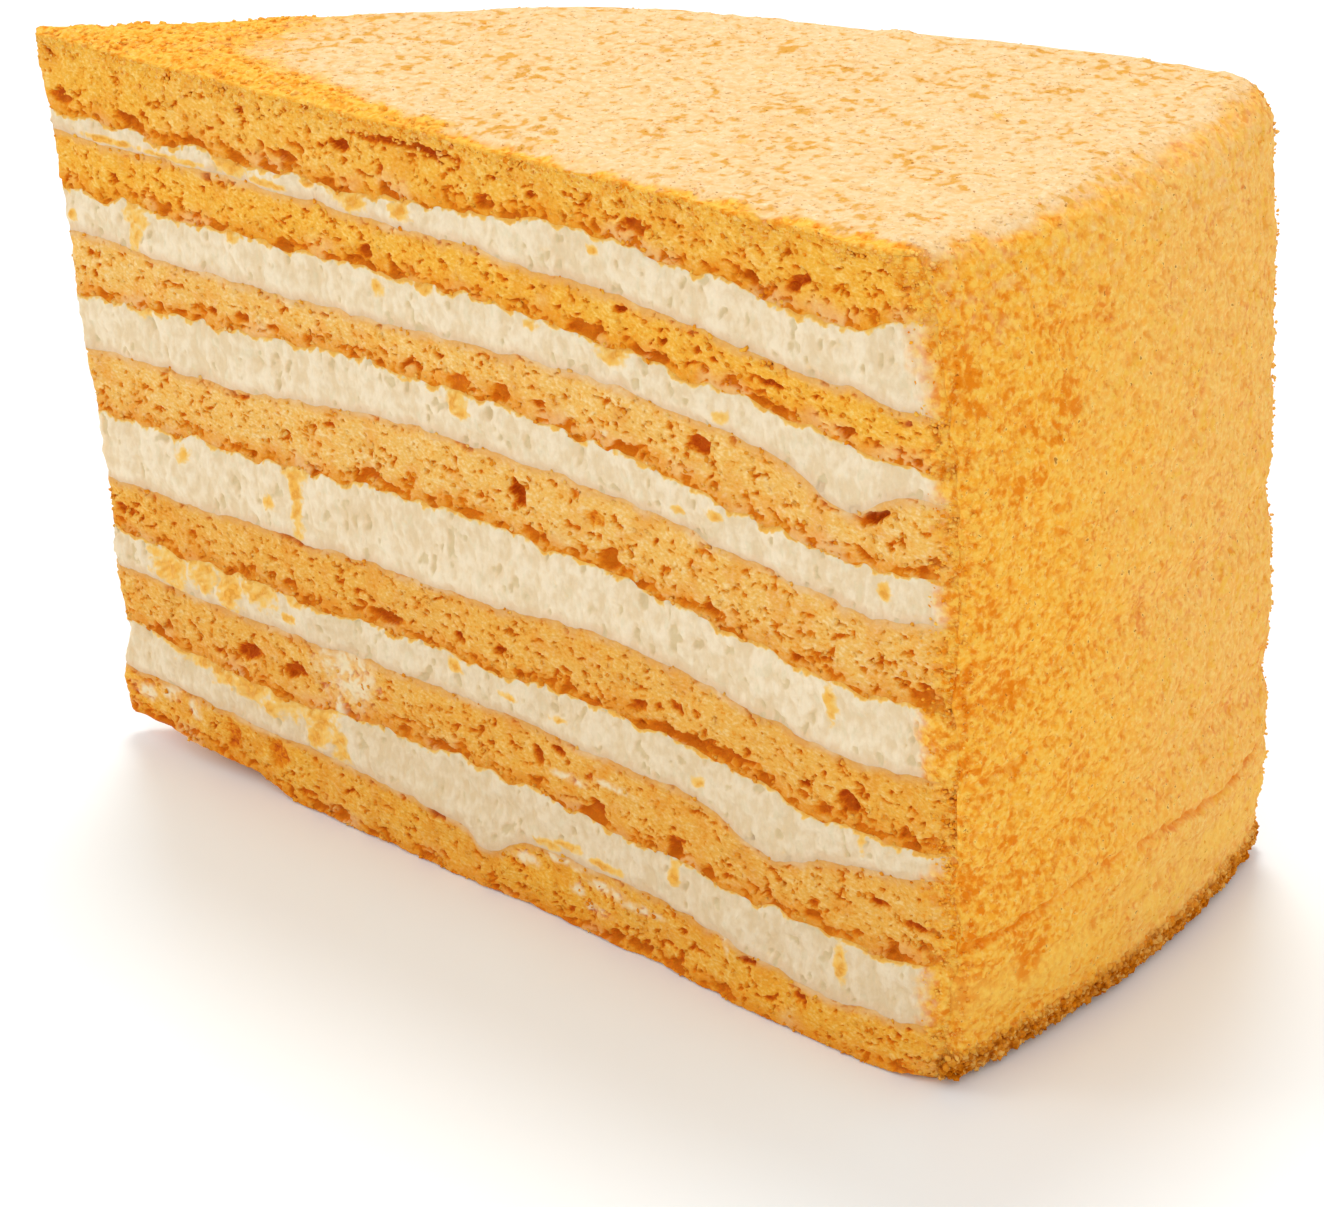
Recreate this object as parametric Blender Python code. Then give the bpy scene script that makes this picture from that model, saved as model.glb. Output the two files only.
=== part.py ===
"""A cut slice of tall layered honey cake, standing on its flat base.

Seven sponge layers and six cream layers run right through the slice. A coat of fine
cake crumbs covers the top and the curved rim, and ends at the two cuts.
The plan is a wedge: the tip is at -X, the rim at +X, and the front cut faces -Y.
The back cut leaves the tip at about 40 degrees and bends softly towards the rim.
Lengths below are in millimetres, measured from the tip, and are scaled to metres.
"""
import math

import bmesh
import bpy
from mathutils import Vector, noise

MM = 0.001

# Plan of the slice
RIM_RADIUS = 110.0
RIM_CENTRE_X = 7.0
RIM_CENTRE_Y = 27.0
RIM_WIDTH = 52.0
TIP_WIDTH = 1.6
BACK_CUT_RISE = 0.84
BACK_CUT_FAR_RISE = 0.275
BACK_CUT_FAR_START = 26.6
BACK_CUT_WIDEST = 52.8
BACK_BEND_SOFTNESS = 4.0
BACK_CORNER_SOFTNESS = 3.0
PLAN_CENTRE_X = 58.25
PLAN_CENTRE_Y = 26.2

# Height of the slice, and the crumb coat on it
CORE_TOP = 80.0
COAT_ON_TOP = 2.0
COAT_ON_RIM = 1.6
COAT_FOOT = 0.7
TOP_EDGE_RADIUS = 4.5
GAP = 0.3
RIM_GAP = 0.4

# How the rim leans in: over its whole height at the back, at its shoulder above one
# height, and at its foot below another
BACK_LEAN_FOOT = -1.3
BACK_LEAN_TOP = 1.6
SHOULDER_HEIGHT = 62.0
SHOULDER_INSET_FRONT = 3.0
SHOULDER_INSET_BACK = 0.5
FOOT_HEIGHT = 12.0
FOOT_INSET_FRONT = 2.4
FOOT_INSET_BACK = 2.4

# Top of each layer above the base, at six stations along the front cut
STATIONS = (0.0, 25.0, 50.0, 75.0, 100.0, 112.0)
LAYER_TOPS = (
    ("sponge_1", (8.8, 7.9, 7.2, 7.8, 5.2, 6.5)),
    ("cream_1", (14.9, 13.4, 14.6, 13.4, 12.0, 13.1)),
    ("sponge_2", (21.8, 21.3, 22.1, 21.6, 20.3, 22.3)),
    ("cream_2", (26.2, 26.0, 26.5, 27.0, 24.2, 25.5)),
    ("sponge_3", (32.4, 32.9, 33.8, 34.9, 32.0, 32.9)),
    ("cream_3", (39.9, 40.9, 42.7, 41.9, 39.0, 39.9)),
    ("sponge_4", (47.4, 48.2, 50.9, 50.3, 47.2, 48.1)),
    ("cream_4", (53.0, 54.9, 56.2, 55.0, 51.9, 52.4)),
    ("sponge_5", (60.6, 60.3, 61.1, 61.6, 59.4, 60.1)),
    ("cream_5", (65.3, 65.4, 66.2, 65.6, 63.0, 62.4)),
    ("sponge_6", (71.3, 71.3, 71.3, 70.5, 68.2, 67.3)),
    ("cream_6", (73.4, 73.2, 73.7, 75.9, 73.5, 76.2)),
    ("sponge_7", (CORE_TOP,) * 6),
)

# Places where the cream sits lower into the sponge at the front cut:
# layer, distance along the cut, depth, half width
DIPS = (
    ("sponge_1", 55.5, 2.6, 3.0),
    ("sponge_2", 92.0, 2.4, 5.0),
    ("sponge_5", 101.0, 3.0, 4.0),
)

# How far the tip is worn back from the front cut's end, from the base to the top
TIP_WEAR = (0.3, -1.0, 1.6, 0.5, 1.1, 1.6, 1.3, 0.8, 0.2, 0.9, 0.3, 0.0, -0.9)
TIP_WEAR_REACH = 6.0

# How high the front cut's lower edge is worn up from the floor, at the stations, and
# where it bulges out instead: distance along the cut, amount, half width, height
BASE_WEAR = (3.2, 1.8, 0.4, 0.0, 0.0, 1.3)
FOOT_BULGE = (90.0, 1.4, 9.0, 6.0)

# The largest open holes in the front cut: distance along it, height, radius, depth
HOLLOWS = (
    (14.0, 74.4, 2.4, 1.4),
    (61.0, 76.0, 2.0, 1.2),
    (92.5, 75.6, 2.0, 1.2),
    (17.0, 65.8, 2.2, 1.2),
    (104.3, 56.7, 2.6, 1.8),
    (62.7, 47.2, 2.4, 1.8),
    (73.6, 43.4, 2.2, 1.2),
    (43.0, 28.2, 2.6, 1.2),
    (101.0, 27.2, 2.2, 1.4),
    (21.3, 16.9, 2.4, 1.4),
    (80.2, 13.6, 2.2, 1.6),
    (16.8, 5.6, 2.8, 1.8),
    (24.4, 5.8, 2.8, 1.8),
    (105.0, 17.4, 2.0, 1.2),
)

HOLLOW_SPREAD = 1.5

# Relief of the cuts: height of the lumps, and their size
SPONGE_RELIEF = 0.65
CREAM_RELIEF = 0.4
LUMP_SIZE = 6.0
CRUMB_RELIEF = 0.45
CRUMB_SIZE = 2.4
LUMP_STRENGTH = 1.6
LUMP_SHIFT = Vector((7.3, -3.1, 5.7))
EDGE_WAVE = 0.45
EDGE_WAVE_LENGTH = 9.0

# Grid of each solid: steps along the slice, lines across it, steps in height
LAYER_COLUMNS = 36
LAYER_LINES = (0.0, 0.3, 0.7, 1.0)
SPONGE_ROWS = 4
CREAM_ROWS = 2
COAT_TOP_COLUMNS = 17
COAT_BEND_COLUMNS = 3
COAT_LINES = (0.0, 0.03, 0.1, 0.2, 0.32, 0.44, 0.56, 0.68, 0.8, 0.9, 0.97, 1.0)
RIM_ROW_HEIGHTS = (72.0, 67.0, 62.0, 56.0, 50.0, 44.0, 38.0, 32.0, 26.0, 20.0, 15.0, 12.0, 7.0, 3.0)

# Grooves round the rim, where a layer's edge shows through the coat: height, depth
RIM_GROOVES = ((41.0, 0.7), (22.0, 0.8), (11.0, 0.5))
GROOVE_HALF_HEIGHT = 2.4
FOOT_BAND_HEIGHT = 4.5
FOOT_BAND_SLOPE = 1.5
FOOT_BAND_PROUD = 0.5

# How the coat wears down where it meets the cuts: depth, and how far in from the cut
COAT_EDGE_WEAR = 0.7
COAT_EDGE_REACH = 2.5

SPONGE_COLOUR = (0.89, 0.65, 0.29)
CREAM_COLOUR = (0.93, 0.84, 0.69)
COAT_COLOUR = (0.95, 0.73, 0.38)


def clamp(value):
    """Hold a value between 0 and 1."""
    return min(max(value, 0.0), 1.0)


def soft_min(first, second, softness):
    """Give the smaller of two values, with the change between them rounded off."""
    overlap = max(softness - abs(first - second), 0.0) / softness
    return min(first, second) - overlap * overlap * softness / 4


def lumps(x, y, z, size, seed):
    """Give smooth lumps of one size, from about -1 to 1."""
    place = Vector((x, y, z)) / size + LUMP_SHIFT * seed
    return noise.noise(place) * LUMP_STRENGTH


def along_stations(heights, x):
    """Read a height between the stations, on a smooth curve through all of them."""
    last = len(STATIONS) - 1
    at = 0
    while at < last - 1 and x > STATIONS[at + 1]:
        at += 1
    step = STATIONS[at + 1] - STATIONS[at]
    t = clamp((x - STATIONS[at]) / step)
    slopes = []
    for end in (at, at + 1):
        low = max(end - 1, 0)
        high = min(end + 1, last)
        slopes.append((heights[high] - heights[low]) / (STATIONS[high] - STATIONS[low]) * step)
    rise = heights[at + 1] - heights[at]
    bend_in = slopes[0] - rise
    bend_out = rise - slopes[1]
    return heights[at] + t * rise + t * (1 - t) * ((1 - t) * bend_in + t * bend_out)


def back_cut(x):
    """Give the back cut's distance from the front cut."""
    near_tip = TIP_WIDTH + BACK_CUT_RISE * x
    beyond_bend = BACK_CUT_FAR_START + BACK_CUT_FAR_RISE * x
    bent = soft_min(near_tip, beyond_bend, BACK_BEND_SOFTNESS)
    return soft_min(bent, BACK_CUT_WIDEST, BACK_CORNER_SOFTNESS)


def rim_reach(y, z):
    """Give the rim's distance from the tip along X, without its grooves and grains."""
    reach = RIM_CENTRE_X + math.sqrt(RIM_RADIUS ** 2 - (y - RIM_CENTRE_Y) ** 2)
    across = clamp(y / RIM_WIDTH)
    shoulder = SHOULDER_INSET_FRONT + (SHOULDER_INSET_BACK - SHOULDER_INSET_FRONT) * across
    foot = FOOT_INSET_FRONT + (FOOT_INSET_BACK - FOOT_INSET_FRONT) * across
    reach -= across * (BACK_LEAN_FOOT + (BACK_LEAN_TOP - BACK_LEAN_FOOT) * z / CORE_TOP)
    reach -= shoulder * clamp((z - SHOULDER_HEIGHT) / (CORE_TOP - SHOULDER_HEIGHT))
    reach -= foot * clamp((FOOT_HEIGHT - z) / FOOT_HEIGHT)
    return reach


def tip_wear(z):
    """Give how far the tip is worn back at a height."""
    place = clamp(z / CORE_TOP) * (len(TIP_WEAR) - 1)
    at = min(int(place), len(TIP_WEAR) - 2)
    return TIP_WEAR[at] + (TIP_WEAR[at + 1] - TIP_WEAR[at]) * (place - at)


def plan_point(u, v, z, inset):
    """Place a point of the plan: u runs from tip to rim, v from front cut to back cut."""
    x = u * (rim_reach(v * RIM_WIDTH, z) - inset)
    y = v * back_cut(x)
    x += tip_wear(z) * clamp(1.0 - x / TIP_WEAR_REACH)
    return x, y


def outward(u, v):
    """Give the direction that faces out of the cut, or out of the tip."""
    if v == 0.0:
        facing = Vector((0.0, -1.0))
    elif v == 1.0:
        x = u * RIM_RADIUS
        slope = back_cut(x + 1.0) - back_cut(x)
        facing = Vector((-slope, 1.0)).normalized()
    else:
        facing = Vector((0.0, 0.0))
    if u == 0.0:
        facing = (facing + Vector((-1.0, 0.0))).normalized()
    return facing


def boundary_height(order, u, v, x):
    """Give the height of the surface between two layers."""
    name, heights = LAYER_TOPS[order]
    z = along_stations(heights, x)
    if order == len(LAYER_TOPS) - 1:
        return z
    if v == 0.0:
        for layer, centre, depth, half_width in DIPS:
            if layer == name:
                z -= depth * math.exp(-((x - centre) / half_width) ** 2)
    if v in (0.0, 1.0) or u == 0.0:
        z += EDGE_WAVE * lumps(x, v * RIM_WIDTH, z, EDGE_WAVE_LENGTH, order)
    return z


def base_height(u, v, x):
    """Give the height of the underside: flat, but worn up along the front cut."""
    if v > 0.0 and u > 0.0:
        return 0.0
    return max(along_stations(BASE_WEAR, x), 0.0)


def cut_relief(name, u, v, x, z):
    """Give how far a point of a cut stands out, or in where there is a hole."""
    if name.startswith("cream"):
        return CREAM_RELIEF * lumps(x, v * RIM_WIDTH, z, LUMP_SIZE, 1.0)
    bulge_x, bulge, half_width, height = FOOT_BULGE
    out = SPONGE_RELIEF * lumps(x, v * RIM_WIDTH, z, LUMP_SIZE, 2.0)
    out += CRUMB_RELIEF * lumps(x, v * RIM_WIDTH, z, CRUMB_SIZE, 3.0)
    if v == 0.0:
        out += bulge * math.exp(-((x - bulge_x) / half_width) ** 2) * clamp(1.0 - z / height)
        for hole_x, hole_z, radius, depth in HOLLOWS:
            away = math.hypot(x - hole_x, z - hole_z) / radius
            out -= depth * clamp(HOLLOW_SPREAD - away)
    return out


def grid_block(columns, lines, rows):
    """Build a closed block whose corners sit at whole numbers, to be shaped afterwards."""
    mesh = bmesh.new()
    bmesh.ops.create_grid(mesh, x_segments=columns, y_segments=lines, size=0.5)
    bmesh.ops.scale(mesh, vec=(columns, lines, 1.0), verts=mesh.verts)
    bmesh.ops.translate(mesh, vec=(columns / 2, lines / 2, 0.0), verts=mesh.verts)
    bmesh.ops.triangulate(mesh, faces=mesh.faces)
    top = mesh.faces[:]
    for row in range(rows):
        grown = bmesh.ops.extrude_face_region(mesh, geom=top)["geom"]
        corners = [part for part in grown if isinstance(part, bmesh.types.BMVert)]
        bmesh.ops.translate(mesh, vec=(0.0, 0.0, 1.0), verts=corners)
        if row > 0:
            bmesh.ops.delete(mesh, geom=top, context="FACES")
        top = [part for part in grown if isinstance(part, bmesh.types.BMFace)]
    return mesh


def finish(name, mesh, material):
    """Turn a shaped block into a named object in metres, centred on its plan."""
    bmesh.ops.translate(mesh, vec=(-PLAN_CENTRE_X, -PLAN_CENTRE_Y, 0.0), verts=mesh.verts)
    bmesh.ops.scale(mesh, vec=(MM, MM, MM), verts=mesh.verts)
    bmesh.ops.recalc_face_normals(mesh, faces=mesh.faces)
    data = bpy.data.meshes.new(name)
    mesh.to_mesh(data)
    mesh.free()
    data.materials.append(material)
    piece = bpy.data.objects.new(name, data)
    bpy.context.scene.collection.objects.link(piece)
    return piece


def build_layer(order, material):
    """Build one sponge or cream layer, right through the slice."""
    name = LAYER_TOPS[order][0]
    rows = CREAM_ROWS if name.startswith("cream") else SPONGE_ROWS
    mesh = grid_block(LAYER_COLUMNS, len(LAYER_LINES) - 1, rows)
    for corner in mesh.verts:
        u = round(corner.co.x) / LAYER_COLUMNS
        v = LAYER_LINES[round(corner.co.y)]
        level = round(corner.co.z) / rows
        middle = along_stations(LAYER_TOPS[order][1], u * RIM_RADIUS)
        x, y = plan_point(u, v, middle, COAT_ON_RIM + RIM_GAP)
        low = base_height(u, v, x)
        if order > 0:
            low = boundary_height(order - 1, u, v, x) + GAP / 2
        high = boundary_height(order, u, v, x) - GAP / 2
        z = low + (high - low) * level
        x, y = plan_point(u, v, z, COAT_ON_RIM + RIM_GAP)
        if u < 1.0:
            out = outward(u, v) * cut_relief(name, u, v, x, z)
            x += out.x
            y += out.y
        corner.co = (x, y, z)
    return finish(name, mesh, material)


def coat_skin(column, v):
    """Give a point on the coat's outer face, and the point under it on the inner face."""
    top = CORE_TOP + COAT_ON_TOP
    reach = rim_reach(v * RIM_WIDTH, CORE_TOP)
    flat = reach - TOP_EDGE_RADIUS
    under = CORE_TOP + GAP / 2
    bend_end = COAT_TOP_COLUMNS + COAT_BEND_COLUMNS
    if column <= COAT_TOP_COLUMNS:
        u = column / COAT_TOP_COLUMNS
        outer = (u * flat, top)
        inner = (u * (reach - COAT_ON_RIM - RIM_GAP), under)
    elif column <= bend_end:
        turn = (column - COAT_TOP_COLUMNS) / COAT_BEND_COLUMNS
        angle = turn * math.pi / 2
        drop = TOP_EDGE_RADIUS * (1 - math.cos(angle))
        outer = (flat + TOP_EDGE_RADIUS * math.sin(angle), top - drop)
        inner_z = outer[1] if column == bend_end else under
        inner = (reach - COAT_ON_RIM - RIM_GAP * (1 - turn), inner_z)
    else:
        heights = RIM_ROW_HEIGHTS + (COAT_FOOT,)
        z = heights[column - bend_end - 1]
        outer = (rim_reach(v * RIM_WIDTH, z), z)
        inner = (outer[0] - COAT_ON_RIM, z)
    return outer, inner


def coat_relief(x, y, z, v):
    """Give how far the coat's outer face stands out: crumbs, worn edges and grooves."""
    out = CRUMB_RELIEF * lumps(x, y, z, LUMP_SIZE, 4.0)
    if z > CORE_TOP:
        to_cut = min(v, 1.0 - v) * back_cut(x)
        out -= COAT_EDGE_WEAR * clamp(1.0 - to_cut / COAT_EDGE_REACH)
    else:
        for height, depth in RIM_GROOVES:
            out -= depth * math.exp(-((z - height) / GROOVE_HALF_HEIGHT) ** 2)
        out += FOOT_BAND_PROUD * clamp((FOOT_BAND_HEIGHT - z) / FOOT_BAND_SLOPE)
    return out


def build_coat(material):
    """Build the crumb coat as one bent sheet over the top and down the rim."""
    columns = COAT_TOP_COLUMNS + COAT_BEND_COLUMNS + len(RIM_ROW_HEIGHTS) + 1
    mesh = grid_block(columns, len(COAT_LINES) - 1, 1)
    for corner in mesh.verts:
        column = round(corner.co.x)
        v = COAT_LINES[round(corner.co.y)]
        outer, inner = coat_skin(column, v)
        x, z = outer if corner.co.z > 0.5 else inner
        y = v * back_cut(x)
        x += tip_wear(CORE_TOP) * clamp(1.0 - x / TIP_WEAR_REACH)
        if corner.co.z > 0.5:
            out = coat_relief(x, y, z, v)
            lean = clamp((column - COAT_TOP_COLUMNS) / COAT_BEND_COLUMNS) * math.pi / 2
            x += out * math.sin(lean)
            z += out * math.cos(lean)
        corner.co = (x, y, z)
    return finish("crumb_coat", mesh, material)


def linear(channel):
    """Turn a display colour value into a linear one."""
    return ((channel + 0.055) / 1.055) ** 2.4


def food_material(name, colour, roughness):
    """Make one plain food finish."""
    material = bpy.data.materials.new(name)
    material.use_nodes = True
    shader = material.node_tree.nodes["Principled BSDF"]
    shader.inputs["Base Color"].default_value = (*[linear(channel) for channel in colour], 1.0)
    shader.inputs["Roughness"].default_value = roughness
    shader.inputs["Metallic"].default_value = 0.0
    return material


def build_cake():
    """Build every layer from the base up, then the coat."""
    for old in list(bpy.data.objects):
        bpy.data.objects.remove(old, do_unlink=True)
    sponge = food_material("golden_sponge", SPONGE_COLOUR, 0.85)
    cream = food_material("ivory_cream", CREAM_COLOUR, 0.45)
    coat = food_material("crumb_coating", COAT_COLOUR, 0.9)
    for order, (name, _) in enumerate(LAYER_TOPS):
        build_layer(order, cream if name.startswith("cream") else sponge)
    build_coat(coat)


build_cake()
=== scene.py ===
import math
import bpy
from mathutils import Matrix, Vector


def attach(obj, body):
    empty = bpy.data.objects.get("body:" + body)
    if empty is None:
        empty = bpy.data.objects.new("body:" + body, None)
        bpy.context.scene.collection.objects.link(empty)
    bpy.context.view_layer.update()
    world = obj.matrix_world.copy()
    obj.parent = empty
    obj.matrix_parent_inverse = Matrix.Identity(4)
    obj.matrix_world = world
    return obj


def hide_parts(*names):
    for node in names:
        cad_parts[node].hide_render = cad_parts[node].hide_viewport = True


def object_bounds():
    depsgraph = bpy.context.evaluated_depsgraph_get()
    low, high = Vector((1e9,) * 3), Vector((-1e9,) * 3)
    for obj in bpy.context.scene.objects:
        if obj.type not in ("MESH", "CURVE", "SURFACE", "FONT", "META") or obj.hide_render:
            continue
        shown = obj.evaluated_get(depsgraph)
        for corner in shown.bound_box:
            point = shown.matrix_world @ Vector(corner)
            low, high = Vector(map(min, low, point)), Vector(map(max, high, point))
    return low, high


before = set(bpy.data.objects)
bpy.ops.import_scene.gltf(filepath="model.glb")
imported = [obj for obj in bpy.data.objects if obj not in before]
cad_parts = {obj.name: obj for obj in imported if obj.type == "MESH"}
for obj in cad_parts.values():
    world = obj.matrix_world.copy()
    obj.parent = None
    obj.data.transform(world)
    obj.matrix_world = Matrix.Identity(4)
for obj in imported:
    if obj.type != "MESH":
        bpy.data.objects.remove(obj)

from types import SimpleNamespace

import bmesh
import bpy
import numpy as np
from mathutils import Matrix

cad_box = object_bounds()

# Camera.
# A studio camera on a stand, in front of the corner between the cut and the rim.
# It looks down on the slice from the photograph's height, with the same slight roll.
MM = 0.001
CAMERA_PLACE = (188.76, -216.59, 175.24)
CAMERA_AROUND = 41.24
CAMERA_DOWN = 27.943
CAMERA_ROLL = -2.755
CAMERA_LENS = 84.92
CAMERA_NEAREST = 10.0
CAMERA_FARTHEST = 20000.0

camera_data = bpy.data.cameras.new("studio_camera")
camera_data.lens = CAMERA_LENS
camera_data.clip_start = CAMERA_NEAREST * MM
camera_data.clip_end = CAMERA_FARTHEST * MM
camera = bpy.data.objects.new("studio_camera", camera_data)
camera.matrix_world = (
    Matrix.Translation([part * MM for part in CAMERA_PLACE])
    @ Matrix.Rotation(math.radians(CAMERA_AROUND), 4, "Z")
    @ Matrix.Rotation(math.radians(90 - CAMERA_DOWN), 4, "X")
    @ Matrix.Rotation(math.radians(CAMERA_ROLL), 4, "Z")
)
bpy.context.scene.collection.objects.link(camera)
bpy.context.scene.camera = camera


# Sponge layers.
# Seven thin sheets of honey sponge, each baked apart, golden with an open, pored crumb.
# They are stacked with cream between them, and one knife cut goes through them all.

# Plan of the slice, in millimetres from the tip: the rim is an arc, the back cut bends
PLAN_CENTRE_X = 58.25
PLAN_CENTRE_Y = 26.2
RIM_RADIUS = 110.0
RIM_CENTRE_X = 7.0
RIM_CENTRE_Y = 27.0
RIM_WIDTH = 52.0
TIP_WIDTH = 1.6
TIP_ROUND = 0.8
BACK_CUT_RISE = 0.84
BACK_CUT_FAR_RISE = 0.275
BACK_CUT_FAR_START = 26.6
BACK_CUT_WIDEST = 52.8
BACK_BEND_SOFTNESS = 4.0
BACK_CORNER_SOFTNESS = 3.0

# Height of the sponge and cream, the coat round them, and how the rim leans in
CORE_TOP = 80.0
COAT_ON_TOP = 2.0
COAT_ON_RIM = 1.6
RIM_GAP = 0.4
TOP_EDGE_RADIUS = 4.5
BEND_START = CORE_TOP + COAT_ON_TOP - TOP_EDGE_RADIUS
BACK_LEAN_FOOT = -1.3
BACK_LEAN_TOP = 1.6
SHOULDER_HEIGHT = 62.0
SHOULDER_INSET_FRONT = 3.0
SHOULDER_INSET_BACK = 0.5
FOOT_HEIGHT = 12.0
FOOT_INSET = 2.4

# How far the worn tip stands back or juts out, from the base up, and where that ends
TIP_WEAR = (0.3, -1.0, 1.6, 0.5, 1.1, 1.6, 1.3, 0.8, 0.2, 0.9, 0.3, 0.0, -0.9)
TIP_WEAR_REACH = 6.0

# Grooves round the rim (height, depth), and the band of brown crumbs at its foot
RIM_GROOVES = ((41.0, 0.7), (22.0, 0.8), (11.0, 0.5))
GROOVE_HALF_HEIGHT = 2.4
GROOVE_WANDER = 1.2
GROOVE_WANDER_LENGTH = 14.0
FOOT_BAND_HEIGHT = 4.5
FOOT_BAND_SLOPE = 1.5
FOOT_BAND_PROUD = 0.5

# The coat thins out towards the cuts: how far under its own face the sponge ends there
LIP_ON_TOP = 1.0
LIP_ON_RIM = 0.95

# Top of each layer above the base, at six stations along the front cut
STATIONS = (0.0, 25.0, 50.0, 75.0, 100.0, 112.0)
LAYER_TOPS = (
    ("sponge_1", (8.8, 7.9, 7.2, 7.8, 5.2, 6.5)),
    ("cream_1", (14.9, 13.4, 14.6, 13.4, 12.0, 13.1)),
    ("sponge_2", (21.8, 21.3, 22.1, 21.6, 20.3, 22.3)),
    ("cream_2", (26.2, 26.0, 26.5, 27.0, 24.2, 25.5)),
    ("sponge_3", (32.4, 32.9, 33.8, 34.9, 32.0, 32.9)),
    ("cream_3", (39.9, 40.9, 42.7, 41.9, 39.0, 39.9)),
    ("sponge_4", (47.4, 48.2, 50.9, 50.3, 47.2, 48.1)),
    ("cream_4", (53.0, 54.9, 56.2, 55.0, 51.9, 52.4)),
    ("sponge_5", (60.6, 60.3, 61.1, 61.6, 59.4, 60.1)),
    ("cream_5", (65.3, 65.4, 66.2, 65.6, 63.0, 62.4)),
    ("sponge_6", (71.3, 71.3, 71.3, 70.5, 68.2, 67.3)),
    ("cream_6", (73.4, 73.2, 73.7, 75.9, 73.5, 76.2)),
    ("sponge_7", (CORE_TOP,) * 6),
)
# Where the base is worn away, clear of the table: places along the cut, heights
BASE_WEAR = ((0.0, 20.0, 27.0, 107.0, 112.0), (3.1, 1.6, 0.0, 0.0, 0.9))
# Where the foot of the front cut is pressed out: place along, how far, half width, height
FOOT_BULGE = (96.0, 1.6, 12.0, 7.0)

# Places where cream sits lower into the sponge: layer, place along, depth, half width
DIPS = (
    ("sponge_1", 55.5, 2.6, 3.0),
    ("sponge_2", 92.0, 2.4, 5.0),
    ("sponge_5", 101.0, 3.0, 4.0),
)

# Open holes that stand out on the front cut:
# place along it, height, half length, half height, depth
FRONT_HOLES = (
    (2.8, 75.2, 1.5, 0.7, 1.0), (42.7, 77.8, 1.1, 0.5, 1.2), (52.0, 79.4, 6.0, 0.45, 1.2),
    (61.0, 76.0, 1.1, 0.5, 1.2), (74.3, 76.4, 0.6, 0.5, 1.0), (79.0, 77.6, 1.0, 0.7, 0.9),
    (91.5, 75.6, 1.1, 0.45, 1.5), (16.6, 65.9, 1.3, 0.6, 1.4), (23.8, 66.1, 0.7, 0.4, 1.0),
    (35.0, 66.5, 0.7, 0.4, 1.0), (44.8, 67.6, 0.8, 0.8, 1.3), (72.8, 66.6, 1.9, 0.35, 1.3),
    (76.6, 69.2, 0.6, 0.4, 1.0), (81.3, 67.4, 0.6, 0.4, 1.0), (93.0, 66.3, 1.8, 0.3, 1.2),
    (95.3, 64.1, 1.3, 0.3, 1.1), (109.0, 63.0, 0.6, 0.5, 1.0), (56.0, 56.9, 1.5, 1.2, 1.0),
    (61.5, 57.3, 1.2, 0.7, 1.4), (85.2, 58.3, 1.1, 0.7, 1.3), (62.7, 47.2, 1.0, 1.4, 2.2),
    (72.4, 47.2, 1.0, 1.0, 0.6), (24.0, 47.6, 2.0, 0.3, 1.1), (43.7, 50.3, 1.0, 0.3, 1.0),
    (56.5, 50.7, 1.0, 0.3, 1.0), (37.4, 47.8, 0.8, 0.35, 1.0), (64.2, 43.6, 1.3, 0.7, 1.3),
    (73.6, 43.4, 1.2, 1.1, 1.7), (85.8, 42.0, 0.9, 0.6, 1.3), (95.7, 40.2, 0.9, 0.6, 1.3),
    (31.2, 33.2, 3.5, 0.35, 1.2), (46.4, 33.6, 1.2, 0.4, 1.1), (42.9, 28.0, 2.5, 0.6, 1.5),
    (83.8, 27.1, 6.2, 0.5, 1.6), (101.2, 27.2, 1.1, 1.1, 1.6), (44.2, 15.1, 1.0, 0.6, 1.2),
    (49.0, 15.1, 1.5, 0.5, 1.2), (62.9, 18.8, 0.6, 1.0, 1.2), (80.2, 13.9, 0.9, 1.7, 1.7),
    (97.3, 13.4, 0.9, 0.6, 1.2), (104.3, 17.5, 1.2, 0.5, 1.2), (108.6, 16.9, 1.2, 0.6, 1.2),
    (17.0, 5.5, 1.3, 1.7, 0.55), (24.4, 5.5, 1.3, 1.7, 0.55), (48.0, 6.8, 1.0, 0.7, 1.2),
    (72.2, 1.1, 0.9, 0.6, 1.8), (89.0, 5.2, 1.2, 0.3, 1.1), (95.5, 3.6, 0.8, 0.5, 1.0),
)
# The same with a lean, as rise along the cut
LEANING_HOLES = (
    (13.0, 74.4, 2.1, 0.6, 1.6, -0.2), (22.0, 73.9, 2.3, 0.45, 1.4, -0.1),
    (96.8, 76.4, 1.1, 0.6, 1.3, 0.4), (104.3, 56.7, 1.5, 0.6, 2.2, 0.5),
    (89.0, 33.2, 1.6, 0.35, 1.3, -0.9), (21.3, 16.9, 1.6, 0.9, 1.6, 0.2),
    (28.5, 17.1, 1.6, 0.9, 1.6, 0.2),
)
# Small holes of the same size: (half length, half height, depth), then their places
HOLES_ALIKE = (
    ((0.5, 0.4, 1.0), ((66.3, 75.8), (68.3, 76.0), (85.6, 67.6), (87.6, 67.0))),
    ((0.7, 0.5, 1.0), (
        (4.7, 54.0), (10.8, 54.5), (14.0, 55.0), (22.0, 56.2),
        (26.5, 56.6), (30.8, 56.6), (35.5, 56.4), (29.0, 2.1),
    )),
    ((0.8, 0.5, 1.1), (
        (3.2, 28.8), (22.3, 27.2), (28.9, 27.4), (39.4, 28.6), (53.4, 28.8), (58.8, 29.4),
        (76.7, 29.0), (81.0, 30.1), (96.3, 27.4), (98.3, 25.5), (65.8, 20.4),
    )),
)
# How far out a hole starts and how far in it is full, as shares of its half size
HOLE_EDGE = (1.35, 0.6)

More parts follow.
